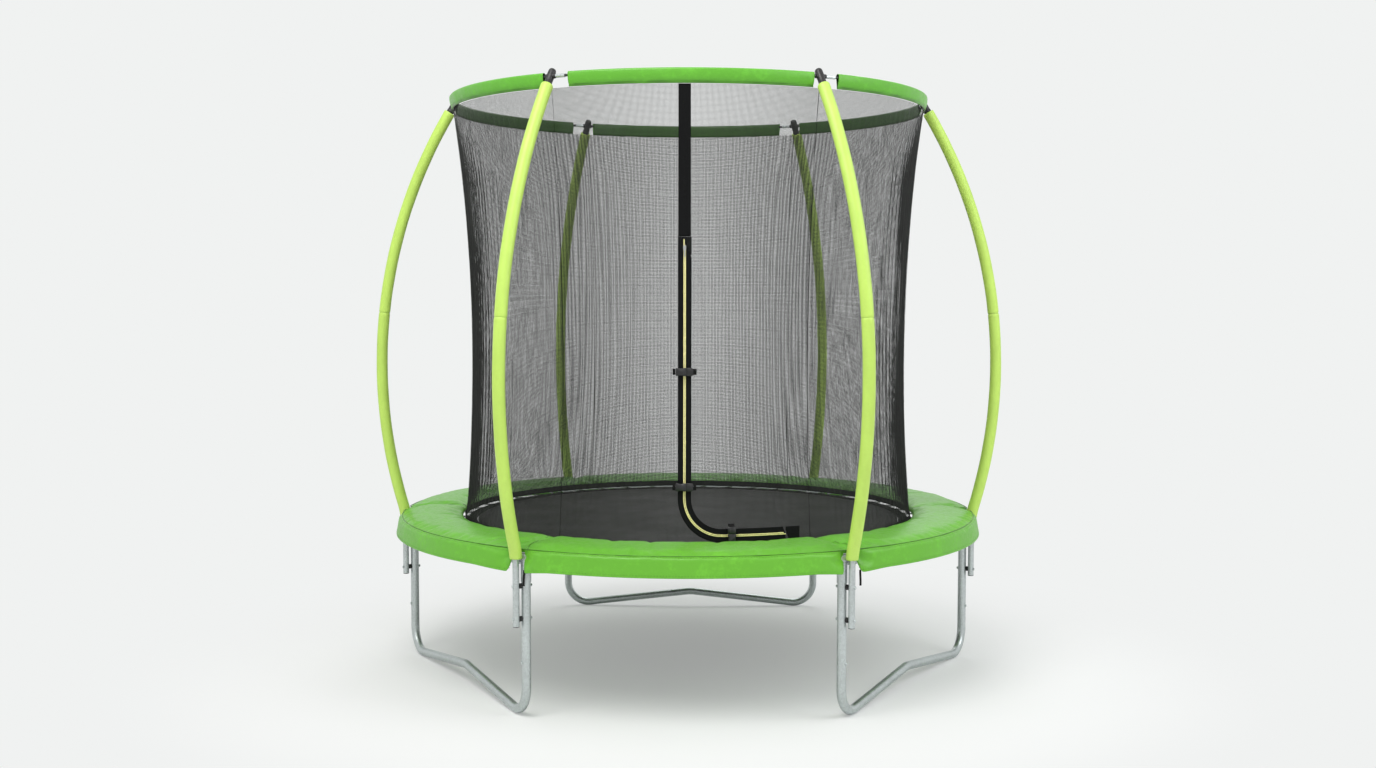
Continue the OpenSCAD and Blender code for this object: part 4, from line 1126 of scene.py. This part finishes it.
class TRAMPOLINE_OT_buckles(PieceOperator):
    """Makes the three side-release buckles over the zip, with their straps"""

    bl_idname = "trampoline.buckles"
    bl_label = "Buckles"

    def make(self, scene):
        plastic = plastic_finish("buckle_plastic", (0.011, 0.011, 0.012), 0.36)
        strap = webbing_finish("buckle_strap", (0.011, 0.011, 0.011), 0.0014)
        sockets = []
        for n, (x, z) in enumerate(BUCKLES, 1):
            place = self.placing(x, z, n == 3)
            sockets.append(self.socket(place))
            prong = link(f"buckle_prong_{n}_moulded", self.prong(place))
            settle(prong, plastic, f"buckle_prong_{n}", (f"buckle_prong_{n}",))
            lie = NET_HALF + (0.0006 if n == 3 else 0.0003)
            for side, name, body in ((-1, f"socket_strap_{n}", "frame"),
                                     (1, f"prong_strap_{n}_webbing", f"buckle_prong_{n}")):
                mesh, length = self.strap(name, place, side, lie)
                piece = link(name, mesh)
                node = f"prong_strap_{n}" if side > 0 else ("socket_straps" if n == 1 else None)
                settle(piece, strap, body, (node,) if node else ())
        piece = link("buckle_sockets_moulded", join("buckle_sockets_moulded", sockets))
        settle(piece, plastic, "frame", ("buckle_sockets",))

    @staticmethod
    def placing(x, z, upright):
        """Turns points of a buckle (along, across, out) into the frame."""
        origin = on_front(x, z)
        out = out_of_net(origin)
        turn = math.asin(x / float(net_r(z)))
        level = np.array([math.cos(turn), math.sin(turn), 0.0])
        rise = np.cross(out, level)
        along, across = (rise, -level) if upright else (level, rise)
        return lambda points: (origin + np.asarray(points, float) @ np.stack([along, across, out]))

    @staticmethod
    def plate(place, outline, low, high, bevel=0.0007):
        """A flat moulded plate with softened edges, from an outline (along, across)."""
        outline = np.asarray(outline, float)
        centre = outline.mean(0)
        levels = ((low, bevel), (low + bevel, 0), (high - bevel, 0), (high, bevel))
        rings = []
        for level, inset in levels:
            pull = outline - centre
            size = np.linalg.norm(pull, axis=1)[:, None]
            rings.append(place(np.column_stack([outline - pull / size * inset,
                                                np.full(len(outline), level)])))
        return tube("plate", rings)

    def socket(self, place):
        """The half with side windows: a floor, a roof, a back bar and two front posts."""
        w, back, front = BUCKLE_W / 2, -BUCKLE_L / 2, SOCKET_FRONT
        low, high = BUCKLE_OFF, BUCKLE_OFF + BUCKLE_T
        shell = [(back, -w + 0.002), (back + 0.002, -w), (back + 0.010, -w), (back + 0.014, -w + 0.0022),
                 (front - 0.014, -w + 0.0022), (front - 0.010, -w), (front - 0.001, -w),
                 (front, -w + 0.001), (front, w - 0.001), (front - 0.001, w), (front - 0.010, w),
                 (front - 0.014, w - 0.0022), (back + 0.014, w - 0.0022), (back + 0.010, w),
                 (back + 0.002, w), (back, w - 0.002)]
        bar = [(back, -w + 0.0015), (back + 0.0034, -w), (back + 0.0034, w), (back, w - 0.0015)]
        plates = [self.plate(place, shell, low, low + 0.0020), self.plate(place, shell, high - 0.0018, high),
                  self.plate(place, bar, low + 0.0012, high - 0.0012)]
        for side in (-1, 1):
            y0, y1 = sorted((side * (w - 0.0022), side * (w - 0.0003)))
            post = [(front - 0.0085, y0), (front - 0.0006, y0), (front - 0.0006, y1), (front - 0.0085, y1)]
            plates.append(self.plate(place, post, low + 0.0012, high - 0.0012, 0.0004))
        return join("socket", plates)

    def prong(self, place):
        """The half with a strap bar, two sprung arms and a guide between them."""
        w, back, front = BUCKLE_W / 2, BUCKLE_L / 2, SOCKET_FRONT + 0.0004
        low, high = BUCKLE_OFF, BUCKLE_OFF + BUCKLE_T
        base = [(front, -w + 0.0010), (front + 0.001, -w), (back - 0.006, -w), (back, -w + 0.003),
                (back, w - 0.003), (back - 0.006, w), (front + 0.001, w), (front, w - 0.0010)]
        plates = [self.plate(place, base, low + 0.0004, high - 0.0004, 0.0010)]
        tip = SOCKET_FRONT - 0.0235
        for side in (-1, 1):
            arm = [(front + 0.0006, side * 0.0072), (tip + 0.004, side * 0.0066),
                   (tip, side * 0.0078), (tip + 0.0012, side * 0.0104), (tip + 0.0068, side * 0.0118),
                   (tip + 0.0085, side * 0.0100), (front + 0.0006, side * 0.0108)]
            plates.append(self.plate(place, arm, low + 0.0031, high - 0.0027, 0.0005))
        guide = [(front + 0.0006, -0.0021), (tip + 0.002, -0.0016), (tip, 0.0), (tip + 0.002, 0.0016),
                 (front + 0.0006, 0.0021)]
        plates.append(self.plate(place, guide, low + 0.0031, high - 0.0027, 0.0005))
        for x in (front + 0.006, front + 0.0105, front + 0.015):
            rib = [(x, -0.009), (x + 0.0016, -0.009), (x + 0.0016, 0.009), (x, 0.009)]
            plates.append(self.plate(place, rib, high - 0.0006, high - 0.00005, 0.0002))
        return join("prong", plates)

    @staticmethod
    def strap(name, place, side, lie):
        """Webbing from a buckle's bar down to the net, where it is sewn on, and its length."""
        end, middle = BUCKLE_L / 2 + 0.0012, BUCKLE_OFF + BUCKLE_T / 2
        line = [(end, middle + 0.0006), (end + 0.0016, middle - 0.0006), (end + 0.0021, middle - 0.004),
                (end + 0.0023, lie + 0.0050), (end + 0.0034, lie + 0.0022), (end + 0.0062, lie + 0.00085),
                (end + 0.0105, lie + 0.0008)]
        path = place([(side * x, 0, z) for x, z in line])
        across = place([(0, 1, 0)])[0] - place([(0, 0, 0)])[0]
        length = np.linalg.norm(np.diff(path, axis=0), axis=1).sum()
        return strap_mesh(name, path, np.tile(across, (len(line), 1)), 0.0236, 0.0015), float(length)


class TRAMPOLINE_OT_pad(PieceOperator):
    """Makes the padded rim cover with its seams, welt, skirt and ties"""

    bl_idname = "trampoline.pad"
    bl_label = "Safety Pad"

    COLUMNS, EDGE_ROW = 96, 19
    ROWS = 29

    def make(self, scene):
        settings = scene.trampoline_pad
        colour = tuple(settings.colour)
        material = coated_cloth_finish("pad_cloth", colour)
        dark = coated_cloth_finish("pad_thread", shade(colour, 0.38))
        rows = [self.sector(k, settings) for k in range(6)]
        cover = np.concatenate([r[:-1] for r in rows])
        mesh = self.close(cover)
        piece = link("safety_pad_cover", mesh)
        smooth = piece.modifiers.new("Round", "SUBSURF")
        smooth.levels = smooth.render_levels = 1
        settle(piece, material, "frame", ("safety_pad",))
        self.seams(cover, settings, dark)
        self.ties()

    def base(self, k):
        """Unpuffed points of one sixth of the cover: columns round, rows from inside to the hem."""
        a = k * SECTOR + np.linspace(0, SECTOR, self.COLUMNS + 1)
        off = np.minimum(a - k * SECTOR, (k + 1) * SECTOR - a) * POLE_R
        notch = 1 - ease(off, 0.027, 0.046)
        seam = 1 - ease(off, 0.004, 0.016)
        drop = ease(off, 0.0255, 0.036)
        edge_r = PAD_OUT - 0.0185 * notch
        rows = []
        inner = ((0.005, 0.0005), (0.0005, 0.008), (0.003, 0.019))
        for dr, dz in inner:
            rows.append((PAD_IN + dr + 0 * a, PAD_Z + dz - 0.003 * seam * (dz > 0.01)))
        count = self.EDGE_ROW - len(inner)
        for j in range(count):
            t = (j + 0.5) / count
            r = PAD_IN + 0.007 + (edge_r - 0.002 - PAD_IN - 0.007) * t
            u = (r - PAD_IN) / (PAD_OUT - PAD_IN)
            crown = 0.0175 * u + 0.025 * (1 - u) + 0.0155 * 4 * u * (1 - u) * 0.5
            bunch = 0.0016 * np.sin(off * 300 + 9 * t + k) * (1 - ease(off, 0.03, 0.11))
            rows.append((r, PAD_Z + crown - 0.0045 * seam - 0.003 * notch * t + bunch * (1 - seam)))
        rows.append((edge_r, PAD_EDGE_Z - 0.004 * notch + 0 * a))
        rows = [(r, a, z) for r, z in rows]
        skirt = self.ROWS - len(rows)
        side = np.where(a - k * SECTOR < SECTOR / 2, -1, 1)
        draw = side * (0.0125 * (1 - ease(off, 0.032, 0.10)) * drop) / POLE_R
        for j in range(1, skirt + 1):
            t = j / skirt
            fall = (SKIRT_H - 0.001) * (0.05 + 0.95 * drop) * t
            gather = 0.0022 * np.sin(off * 420 + k) * (1 - ease(off, 0.05, 0.13)) * drop * t
            rows.append((edge_r + (SKIRT_FLARE - 0.0035) * t * drop + gather,
                         a + draw * ease(t, 0.42, 0.75), PAD_EDGE_Z - 0.004 * notch - fall))
        return np.stack([around(r, t, z) for r, t, z in rows], 1), a, off

    def sector(self, k, settings):
        """One sixth of the cover: cloth with some slack, blown up a little between its seams."""
        rest, a, off = self.base(k)
        shape = rest.copy()
        wrinkle = np.array([[noise.noise(Vector((math.cos(t) * 9, math.sin(t) * 9, j * 0.21)))
                             for j in range(self.ROWS)] for t in a])
        out = self.outward(rest)
        free = np.ones(self.ROWS)
        free[[0, 1]] = 0
        free[self.EDGE_ROW] = 0.25
        calm = ease(off, 0.0, 0.03)[:, None] * free
        shape += out * (0.0016 * wrinkle * calm)[..., None]
        shape = self.blow(shape, calm, settings, k)
        moved = shape - rest
        along = (moved * out).sum(-1)
        low, high = -0.003, settings.puff
        shape += out * (np.clip(along, low, high) - along)[..., None]
        side = moved - out * along[..., None]
        size = np.linalg.norm(side, axis=-1)
        shape -= side * np.clip(1 - 0.008 / np.maximum(size, 1e-6), 0, 1)[..., None]
        shape[[0, -1]] = rest[[0, -1]]
        return shape

    @staticmethod
    def outward(grid):
        """Unit vectors out of a grid of points."""
        u, v = np.gradient(grid, axis=0), np.gradient(grid, axis=1)
        out = np.cross(v, u)
        out /= np.maximum(np.linalg.norm(out, axis=-1), 1e-9)[..., None]
        return -out if out[:, 10, 2].mean() < 0 else out

    def blow(self, shape, calm, settings, k):
        """Runs the cloth: pinned along its seams, pushed out from below, with spare cloth."""
        scene = bpy.context.scene
        n, m = shape.shape[:2]
        mesh = mesh_from("cover_cloth", shape.reshape(-1, 3), quads(n, m))
        if Vector(mesh.polygons[10 * (m - 1) + 10].normal).z < 0:
            mesh.flip_normals()
        piece = link(f"cover_cloth_{k}", mesh)
        pins = piece.vertex_groups.new(name="pins")
        index = np.arange(n * m).reshape(n, m)
        held = np.concatenate([index[[0, -1]].ravel(), index[:, [0, 1, self.EDGE_ROW]].ravel()])
        pins.add([int(i) for i in np.unique(held)], 1.0, "REPLACE")
        cloth = piece.modifiers.new("Cover", "CLOTH")
        s = cloth.settings
        s.quality, s.mass, s.air_damping = 5, 0.3, 5.0
        s.tension_stiffness = s.compression_stiffness = 25.0
        s.shear_stiffness, s.bending_stiffness = 10.0, 0.6
        s.vertex_group_mass = "pins"
        s.shrink_min = -settings.slack
        s.use_pressure, s.uniform_pressure_force = True, 1.6
        s.effector_weights.gravity = 0.0
        cloth.point_cache.frame_start, cloth.point_cache.frame_end = 1, 24
        for number in range(1, 25):
            scene.frame_set(number)
        seen = piece.evaluated_get(bpy.context.evaluated_depsgraph_get())
        points = np.zeros(n * m * 3)
        seen.data.vertices.foreach_get("co", points)
        bpy.data.objects.remove(piece)
        scene.frame_set(1)
        return points.reshape(n, m, 3)

    def close(self, cover):
        """Adds the skirt's back and the underside, so that the cover is a closed form."""
        n = cover.shape[0]
        out = self.outward(np.concatenate([cover[-1:], cover, cover[:1]]))[1:-1]
        back = [cover[:, j] - out[:, j] * 0.0022 for j in (28, 26, 24, 22, 20)]
        a = np.arctan2(cover[:, 0, 1], cover[:, 0, 0])
        edge = np.hypot(cover[:, self.EDGE_ROW, 0], cover[:, self.EDGE_ROW, 1])
        under = []
        for t in (0.0, 0.02, 0.2, 0.4, 0.6, 0.8, 0.97):
            r = edge - 0.004 - (edge - 0.004 - PAD_IN - 0.010) * t
            under.append(around(r, a, PAD_Z + 0.0004 + 0 * a))
        rings = np.concatenate([cover, np.stack(back + under, 1)], 1)
        faces = quads(n, rings.shape[1], wrap_rows=True, wrap_columns=True)
        return point_out(mesh_from("safety_pad_cover", rings.reshape(-1, 3), faces))

    def seams(self, cover, settings, thread):
        """The welt along the outer edge, and the rows of stitches beside the seams."""
        edge = cover[:, self.EDGE_ROW]
        out = self.outward(np.concatenate([cover[-1:], cover, cover[:1]]))[1:-1]
        turn = np.linspace(0, TAU, 7, endpoint=False)
        along = np.roll(edge, -1, 0) - np.roll(edge, 1, 0)
        along /= np.linalg.norm(along, axis=1)[:, None]
        up = out[:, self.EDGE_ROW]
        side = np.cross(along, up)
        rings = (edge + up * 0.0006)[:, None] + 0.0015 * (
            np.cos(turn)[None, :, None] * up[:, None] + np.sin(turn)[None, :, None] * side[:, None])
        welts = [tube("welt", rings, closed=True)]
        for k in range(6):
            column = (k * self.COLUMNS + np.arange(2, self.EDGE_ROW + 1) // 3 - 3) % len(cover)
            row = np.arange(2, self.EDGE_ROW + 1)
            line, up = cover[column, row], out[column, row]
            along = np.gradient(line, axis=0)
            side = np.cross(along / np.linalg.norm(along, axis=1)[:, None], up)
            welts.append(tube("seam", (line + up * 0.0003)[:, None] + 0.0009 * (
                np.cos(turn)[None, :, None] * up[:, None] + np.sin(turn)[None, :, None] * side[:, None])))
        welt = link("pad_welt", join("pad_welt", welts))
        settle(welt, thread, "frame")
        copies = follow_recipe()
        meshes = []
        for row, lift in ((self.EDGE_ROW + 1, 0.0008), (self.ROWS - 2, 0.0007)):
            points = cover[:, row] + out[:, row] * lift
            line = copies.grow("pad_stitch_line", path_mesh("line", points, True, out=out[:, row]),
                               Pitch=settings.stitch, Size=(0.0011, 0.0062, 0.0010), Material=thread)
            meshes.append(line.data)
            bpy.data.objects.remove(line)
        piece = link("pad_stitches", join("pad_stitches", meshes))
        settle(piece, thread, "frame")

    @staticmethod
    def ties():
        """Webbing ties that hang from the hem beside each pole."""
        strap = webbing_finish("tie_webbing", (0.012, 0.012, 0.012), 0.0013)
        low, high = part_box("pad_ties")
        top, bottom = high.z - 0.0005, low.z + 0.0005
        for k in range(6):
            z = np.linspace(top, bottom, 14)
            t = (top - z) / (top - bottom)
            a = k * SECTOR
            r = 1.23115 + 0.0007 * np.sin(t * 5 + k)
            y = 0.037 + 0.0008 * np.sin(t * 4 + 2 * k)
            path = np.stack([r * math.cos(a) - y * math.sin(a), r * math.sin(a) + y * math.cos(a), z], 1)
            across = np.tile([-math.sin(a), math.cos(a), 0.0], (len(z), 1))
            name = f"pad_tie_{k + 1}"
            piece = link(name, strap_mesh(name, path, across, 0.0098, 0.0018))
            settle(piece, strap, "frame", ("pad_ties",) if k == 0 else ())


class TRAMPOLINE_OT_mat(PieceOperator):
    """Makes the jumping mat, its edge webbing, its stitches and the V-rings"""

    bl_idname = "trampoline.mat"
    bl_label = "Jumping Mat"

    def make(self, scene):
        settings = scene.trampoline_mat
        weave = mat_finish(settings)
        webbing = webbing_finish("mat_webbing", (0.013, 0.013, 0.013), 0.0018)
        thread = webbing_finish("mat_thread", (0.20, 0.20, 0.19), 0.002, 0.6)
        # The V-ring wire is drawn far darker than the springs' steel: painted shade for the dark gap under
        # the pad.
        steel_with_painted_shade = galvanised_finish("ring_wire_painted_shade", (0.17, 0.175, 0.18), 0.42)
        radii = np.concatenate([[0.012], np.linspace(0.05, 0.904, 20)])
        a = np.linspace(0, TAU, 144, endpoint=False)
        rings = []
        for side in (1, -1):
            rows = []
            for r in radii:
                x, y = r * np.cos(a), r * np.sin(a)
                lift = ripple(x, y, 3.0, 4.0) * 0.0006 * (1 - (r / MAT_R) ** 4)
                rows.append(np.stack([x, y, MAT_Z + side * 0.0008 + lift], -1))
            rings += rows if side > 0 else rows[::-1]
        mat = link("mat_cloth", tube("mat_cloth", np.array(rings)))
        settle(mat, weave, "mat", ("mat",))
        half, low, high = 0.003, MAT_R - WEBBING_W, MAT_R
        section = [(low, -0.0014), (low + 0.0006, -half + 0.0003), (low + 0.003, -half),
                   (high - 0.003, -half), (high - 0.0006, -half + 0.0008), (high - 0.0001, 0.0),
                   (high - 0.0006, half - 0.0008), (high - 0.003, half), (low + 0.003, half),
                   (low + 0.0006, half - 0.0003), (low, 0.0014)]
        rings = [[(r * math.cos(t), r * math.sin(t), MAT_Z + z) for r, z in section] for t in a]
        edge = link("mat_edge_webbing", tube("mat_edge_webbing", np.array(rings), closed=True))
        settle(edge, webbing, "mat", ("mat_edge",))
        self.stitches(thread)
        self.rings(steel_with_painted_shade, webbing)

    @staticmethod
    def stitches(thread):
        copies = follow_recipe()
        meshes = []
        a = np.linspace(0, TAU, 200, endpoint=False)
        for r, side in ((0.9115, 1), (0.926, 1), (0.9415, 1), (0.9115, -1), (0.9415, -1)):
            points = around(r, a, MAT_Z + side * 0.0031)
            out = np.tile([0.0, 0.0, float(side)], (len(a), 1))
            line = copies.grow("mat_stitch_line", path_mesh("line", points, True, out=out),
                               Pitch=0.009, Size=(0.0010, 0.0055, 0.0008), Material=thread)
            meshes.append(line.data)
            bpy.data.objects.remove(line)
        for x in (-0.0035, 0.0035):
            points = np.array([(x, y, MAT_Z + 0.0013) for y in np.linspace(-0.903, 0.903, 60)])
            line = copies.grow("mat_seam_line", path_mesh("line", points,
                               out=np.tile([0.0, 0.0, 1.0], (60, 1))),
                               Pitch=0.007, Size=(0.0008, 0.0045, 0.0007), Material=thread)
            meshes.append(line.data)
            bpy.data.objects.remove(line)
        piece = link("mat_stitches", join("mat_stitches", meshes))
        settle(piece, thread, "mat")

    @staticmethod
    def rings(steel_with_painted_shade, webbing):
        """Triangles of bent wire round the mat, each held by a folded loop of webbing."""
        base, tip = MAT_R + 0.0024, 0.9853 - 0.0020
        corners = [(base, -0.0195), (tip, -0.0036), (tip, 0.0036), (base, 0.0195)]
        line = []
        for i, corner in enumerate(corners):
            before, after = corners[i - 1], corners[(i + 1) % 4]
            for t in np.linspace(-1, 1, 5):
                other = before if t < 0 else after
                share = min(0.0035 / math.dist(corner, other), 0.45) * abs(t)
                cut = 0.010 * (1 - abs(t))
                line.append([c + (o - c) * share + ((b + f) / 2 - c) * cut for c, o, b, f
                             in zip(corner, other, before, after)] + [MAT_Z])
        line = np.array(line)
        along = np.roll(line, -1, 0) - np.roll(line, 1, 0)
        along /= np.linalg.norm(along, axis=1)[:, None]
        up = np.tile([0.0, 0.0, 1.0], (len(line), 1))
        side = np.cross(along, up)
        turn = np.linspace(0, TAU, 7, endpoint=False)
        wire = line[:, None] + 0.0019 * (np.cos(turn)[None, :, None] * up[:, None]
                                         + np.sin(turn)[None, :, None] * side[:, None])
        copies = around_recipe()
        step = TAU / SPRINGS
        piece = copies.grow("v_ring_wires", tube("wire", wire, closed=True), Count=SPRINGS,
                            Step=step, Start=step / 2, Material=steel_with_painted_shade)
        settle(piece, steel_with_painted_shade, "mat", ("v_rings",))
        hoop = [(MAT_R - 0.020, 0.0034), (MAT_R - 0.004, 0.0036), (MAT_R + 0.0016, 0.0031),
                (MAT_R + 0.0050, 0.0012), (MAT_R + 0.0050, -0.0012), (MAT_R + 0.0016, -0.0031),
                (MAT_R - 0.004, -0.0036), (MAT_R - 0.020, -0.0034)]
        path = np.array([(x, 0, MAT_Z + z) for x, z in hoop])
        across = np.tile([0.0, 1.0, 0.0], (len(path), 1))
        loops = copies.grow("v_ring_loops", strap_mesh("loop", path, across, 0.024, 0.0009),
                            Count=SPRINGS, Step=step, Start=step / 2, Material=webbing)
        settle(loops, webbing, "mat")


class TRAMPOLINE_OT_springs(PieceOperator):
    """Makes the springs between the mat and the rail, wound from wire with hooked ends"""

    bl_idname = "trampoline.springs"
    bl_label = "Springs"

    def make(self, scene):
        material = galvanised_finish("spring_wire", (0.52, 0.54, 0.55), 0.26)
        spring = self.recipe().grow("one_spring", Turns=float(scene.trampoline_mat.coils),
                                    Material=material)
        source = spring.data
        bpy.data.objects.remove(spring)
        copies = around_recipe()
        step = TAU / SPRINGS
        for pair in range(SPRINGS // 2):
            name = f"spring_pair_{pair + 1:02d}"
            piece = copies.grow(name, source.copy(), Count=2, Step=step,
                                Start=(2 * pair + 0.5) * step, Material=material)
            settle(piece, material, None, ("springs",) if pair == 0 else ())
            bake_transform(piece)

    @staticmethod
    def recipe():
        """A coil along X with a hook at each end."""
        r = Recipe("wound_spring", Turns=("Float", 30.0), Material=("Material", None))
        coil = r.node("GeometryNodeCurveSpiral", None, {
            "Resolution": 10, "Rotations": r.asked("Turns"), "Start Radius": SPRING_R - WIRE_R,
            "End Radius": SPRING_R - WIRE_R, "Height": COIL_L})
        coil = r.node("GeometryNodeTransform", None, {
            0: coil, "Rotation": (0.0, math.pi / 2, 0.0), "Translation": (COIL_FROM, 0.0, MAT_Z)})
        lift = SPRING_R - WIRE_R
        hooks = []
        for points in (
                ((COIL_FROM, 0, -lift), (COIL_FROM - 0.012, 0, -lift), (COIL_FROM - 0.010, 0, 0.0045)),
                ((COIL_FROM - 0.010, 0, 0.0045), (EYE_R + 0.001, 0, 0.0062), (EYE_R, 0, -0.0045)),
                ((COIL_FROM + COIL_L, 0, -lift), (COIL_FROM + COIL_L + 0.010, 0, -lift),
                 (COIL_FROM + COIL_L + 0.014, 0, 0.001)),
                ((COIL_FROM + COIL_L + 0.014, 0, 0.001), (HOOK_R, 0, 0.003), (HOOK_R + 0.006, 0, -0.001))):
            start, middle, end = ((x, y, z + MAT_Z) for x, y, z in points)
            hooks.append(r.node("GeometryNodeCurveQuadraticBezier", None, {
                "Resolution": 8, "Start": start, "Middle": middle, "End": end}))
        wires = r.node("GeometryNodeJoinGeometry", None, {0: [coil, *hooks]})
        section = r.node("GeometryNodeCurvePrimitiveCircle", None,
                         {"Resolution": 5, "Radius": WIRE_R})
        r.end(r.node("GeometryNodeCurveToMesh", None, {
            "Curve": wires, "Profile Curve": section, "Fill Caps": True}), r.asked("Material"))
        return r


class TRAMPOLINE_OT_lacing(PieceOperator):
    """Makes the elastic loops that tie the net's hem to the V-rings"""

    bl_idname = "trampoline.lacing"
    bl_label = "Net Lacing"

    def make(self, scene):
        material = webbing_finish("elastic_loop", (0.012, 0.012, 0.012), 0.0012)
        r = float(net_r(NET_BOTTOM))
        low, high = MAT_Z + 0.0026, NET_BOTTOM + 0.010
        half = (high - low) / 2
        turn = np.linspace(0, TAU, 24, endpoint=False)
        line = np.stack([r + 0.0047 + 0.0003 * np.cos(turn), 0.0052 * np.cos(turn),
                         low + half + half * np.sin(turn)], 1)
        along = np.roll(line, -1, 0) - np.roll(line, 1, 0)
        along /= np.linalg.norm(along, axis=1)[:, None]
        out = np.tile([1.0, 0.0, 0.0], (len(line), 1))
        side = np.cross(along, out)
        around_wire = np.linspace(0, TAU, 6, endpoint=False)
        rings = line[:, None] + 0.0011 * (np.cos(around_wire)[None, :, None] * out[:, None]
                                          + np.sin(around_wire)[None, :, None] * side[:, None])
        step = 2 * TAU / SPRINGS
        piece = around_recipe().grow("net_lacing_loops", tube("loop", rings, closed=True),
                                     Count=SPRINGS // 2, Step=step, Start=step / 4, Material=material)
        settle(piece, material, None, ("net_lacing",))
        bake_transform(piece)


class TRAMPOLINE_PT_panel(bpy.types.Panel):
    """Lists the trampoline's settings and steps"""

    bl_idname = "TRAMPOLINE_PT_panel"
    bl_label = "Trampoline"
    bl_space_type = "VIEW_3D"
    bl_region_type = "UI"
    bl_category = "Trampoline"

    def draw(self, context):
        for name in SETTINGS:
            box = self.layout.box()
            group = getattr(context.scene, name)
            for label in group.bl_rna.properties.keys():
                if label not in {"rna_type", "name"}:
                    box.prop(group, label)
        for step in STEPS:
            self.layout.operator(step.bl_idname)


SETTINGS = {"trampoline_frame": TrampolineFrame, "trampoline_net": TrampolineNet,
            "trampoline_pad": TrampolinePad, "trampoline_mat": TrampolineMat}
STEPS = (TRAMPOLINE_OT_studio, TRAMPOLINE_OT_steelwork, TRAMPOLINE_OT_foam, TRAMPOLINE_OT_caps,
         TRAMPOLINE_OT_ring_sleeves, TRAMPOLINE_OT_net, TRAMPOLINE_OT_door, TRAMPOLINE_OT_buckles,
         TRAMPOLINE_OT_pad, TRAMPOLINE_OT_mat, TRAMPOLINE_OT_springs, TRAMPOLINE_OT_lacing)


def register():
    for kind in (*SETTINGS.values(), *STEPS, TRAMPOLINE_PT_panel):
        bpy.utils.register_class(kind)
    for name, kind in SETTINGS.items():
        setattr(bpy.types.Scene, name, bpy.props.PointerProperty(type=kind))


def unregister():
    for name in SETTINGS:
        delattr(bpy.types.Scene, name)
    for kind in (TRAMPOLINE_PT_panel, *reversed(STEPS), *reversed(list(SETTINGS.values()))):
        bpy.utils.unregister_class(kind)


def main():
    register()
    for step in STEPS:
        area, name = step.bl_idname.split(".")
        getattr(getattr(bpy.ops, area), name)()


if __name__ == "__main__":
    main()
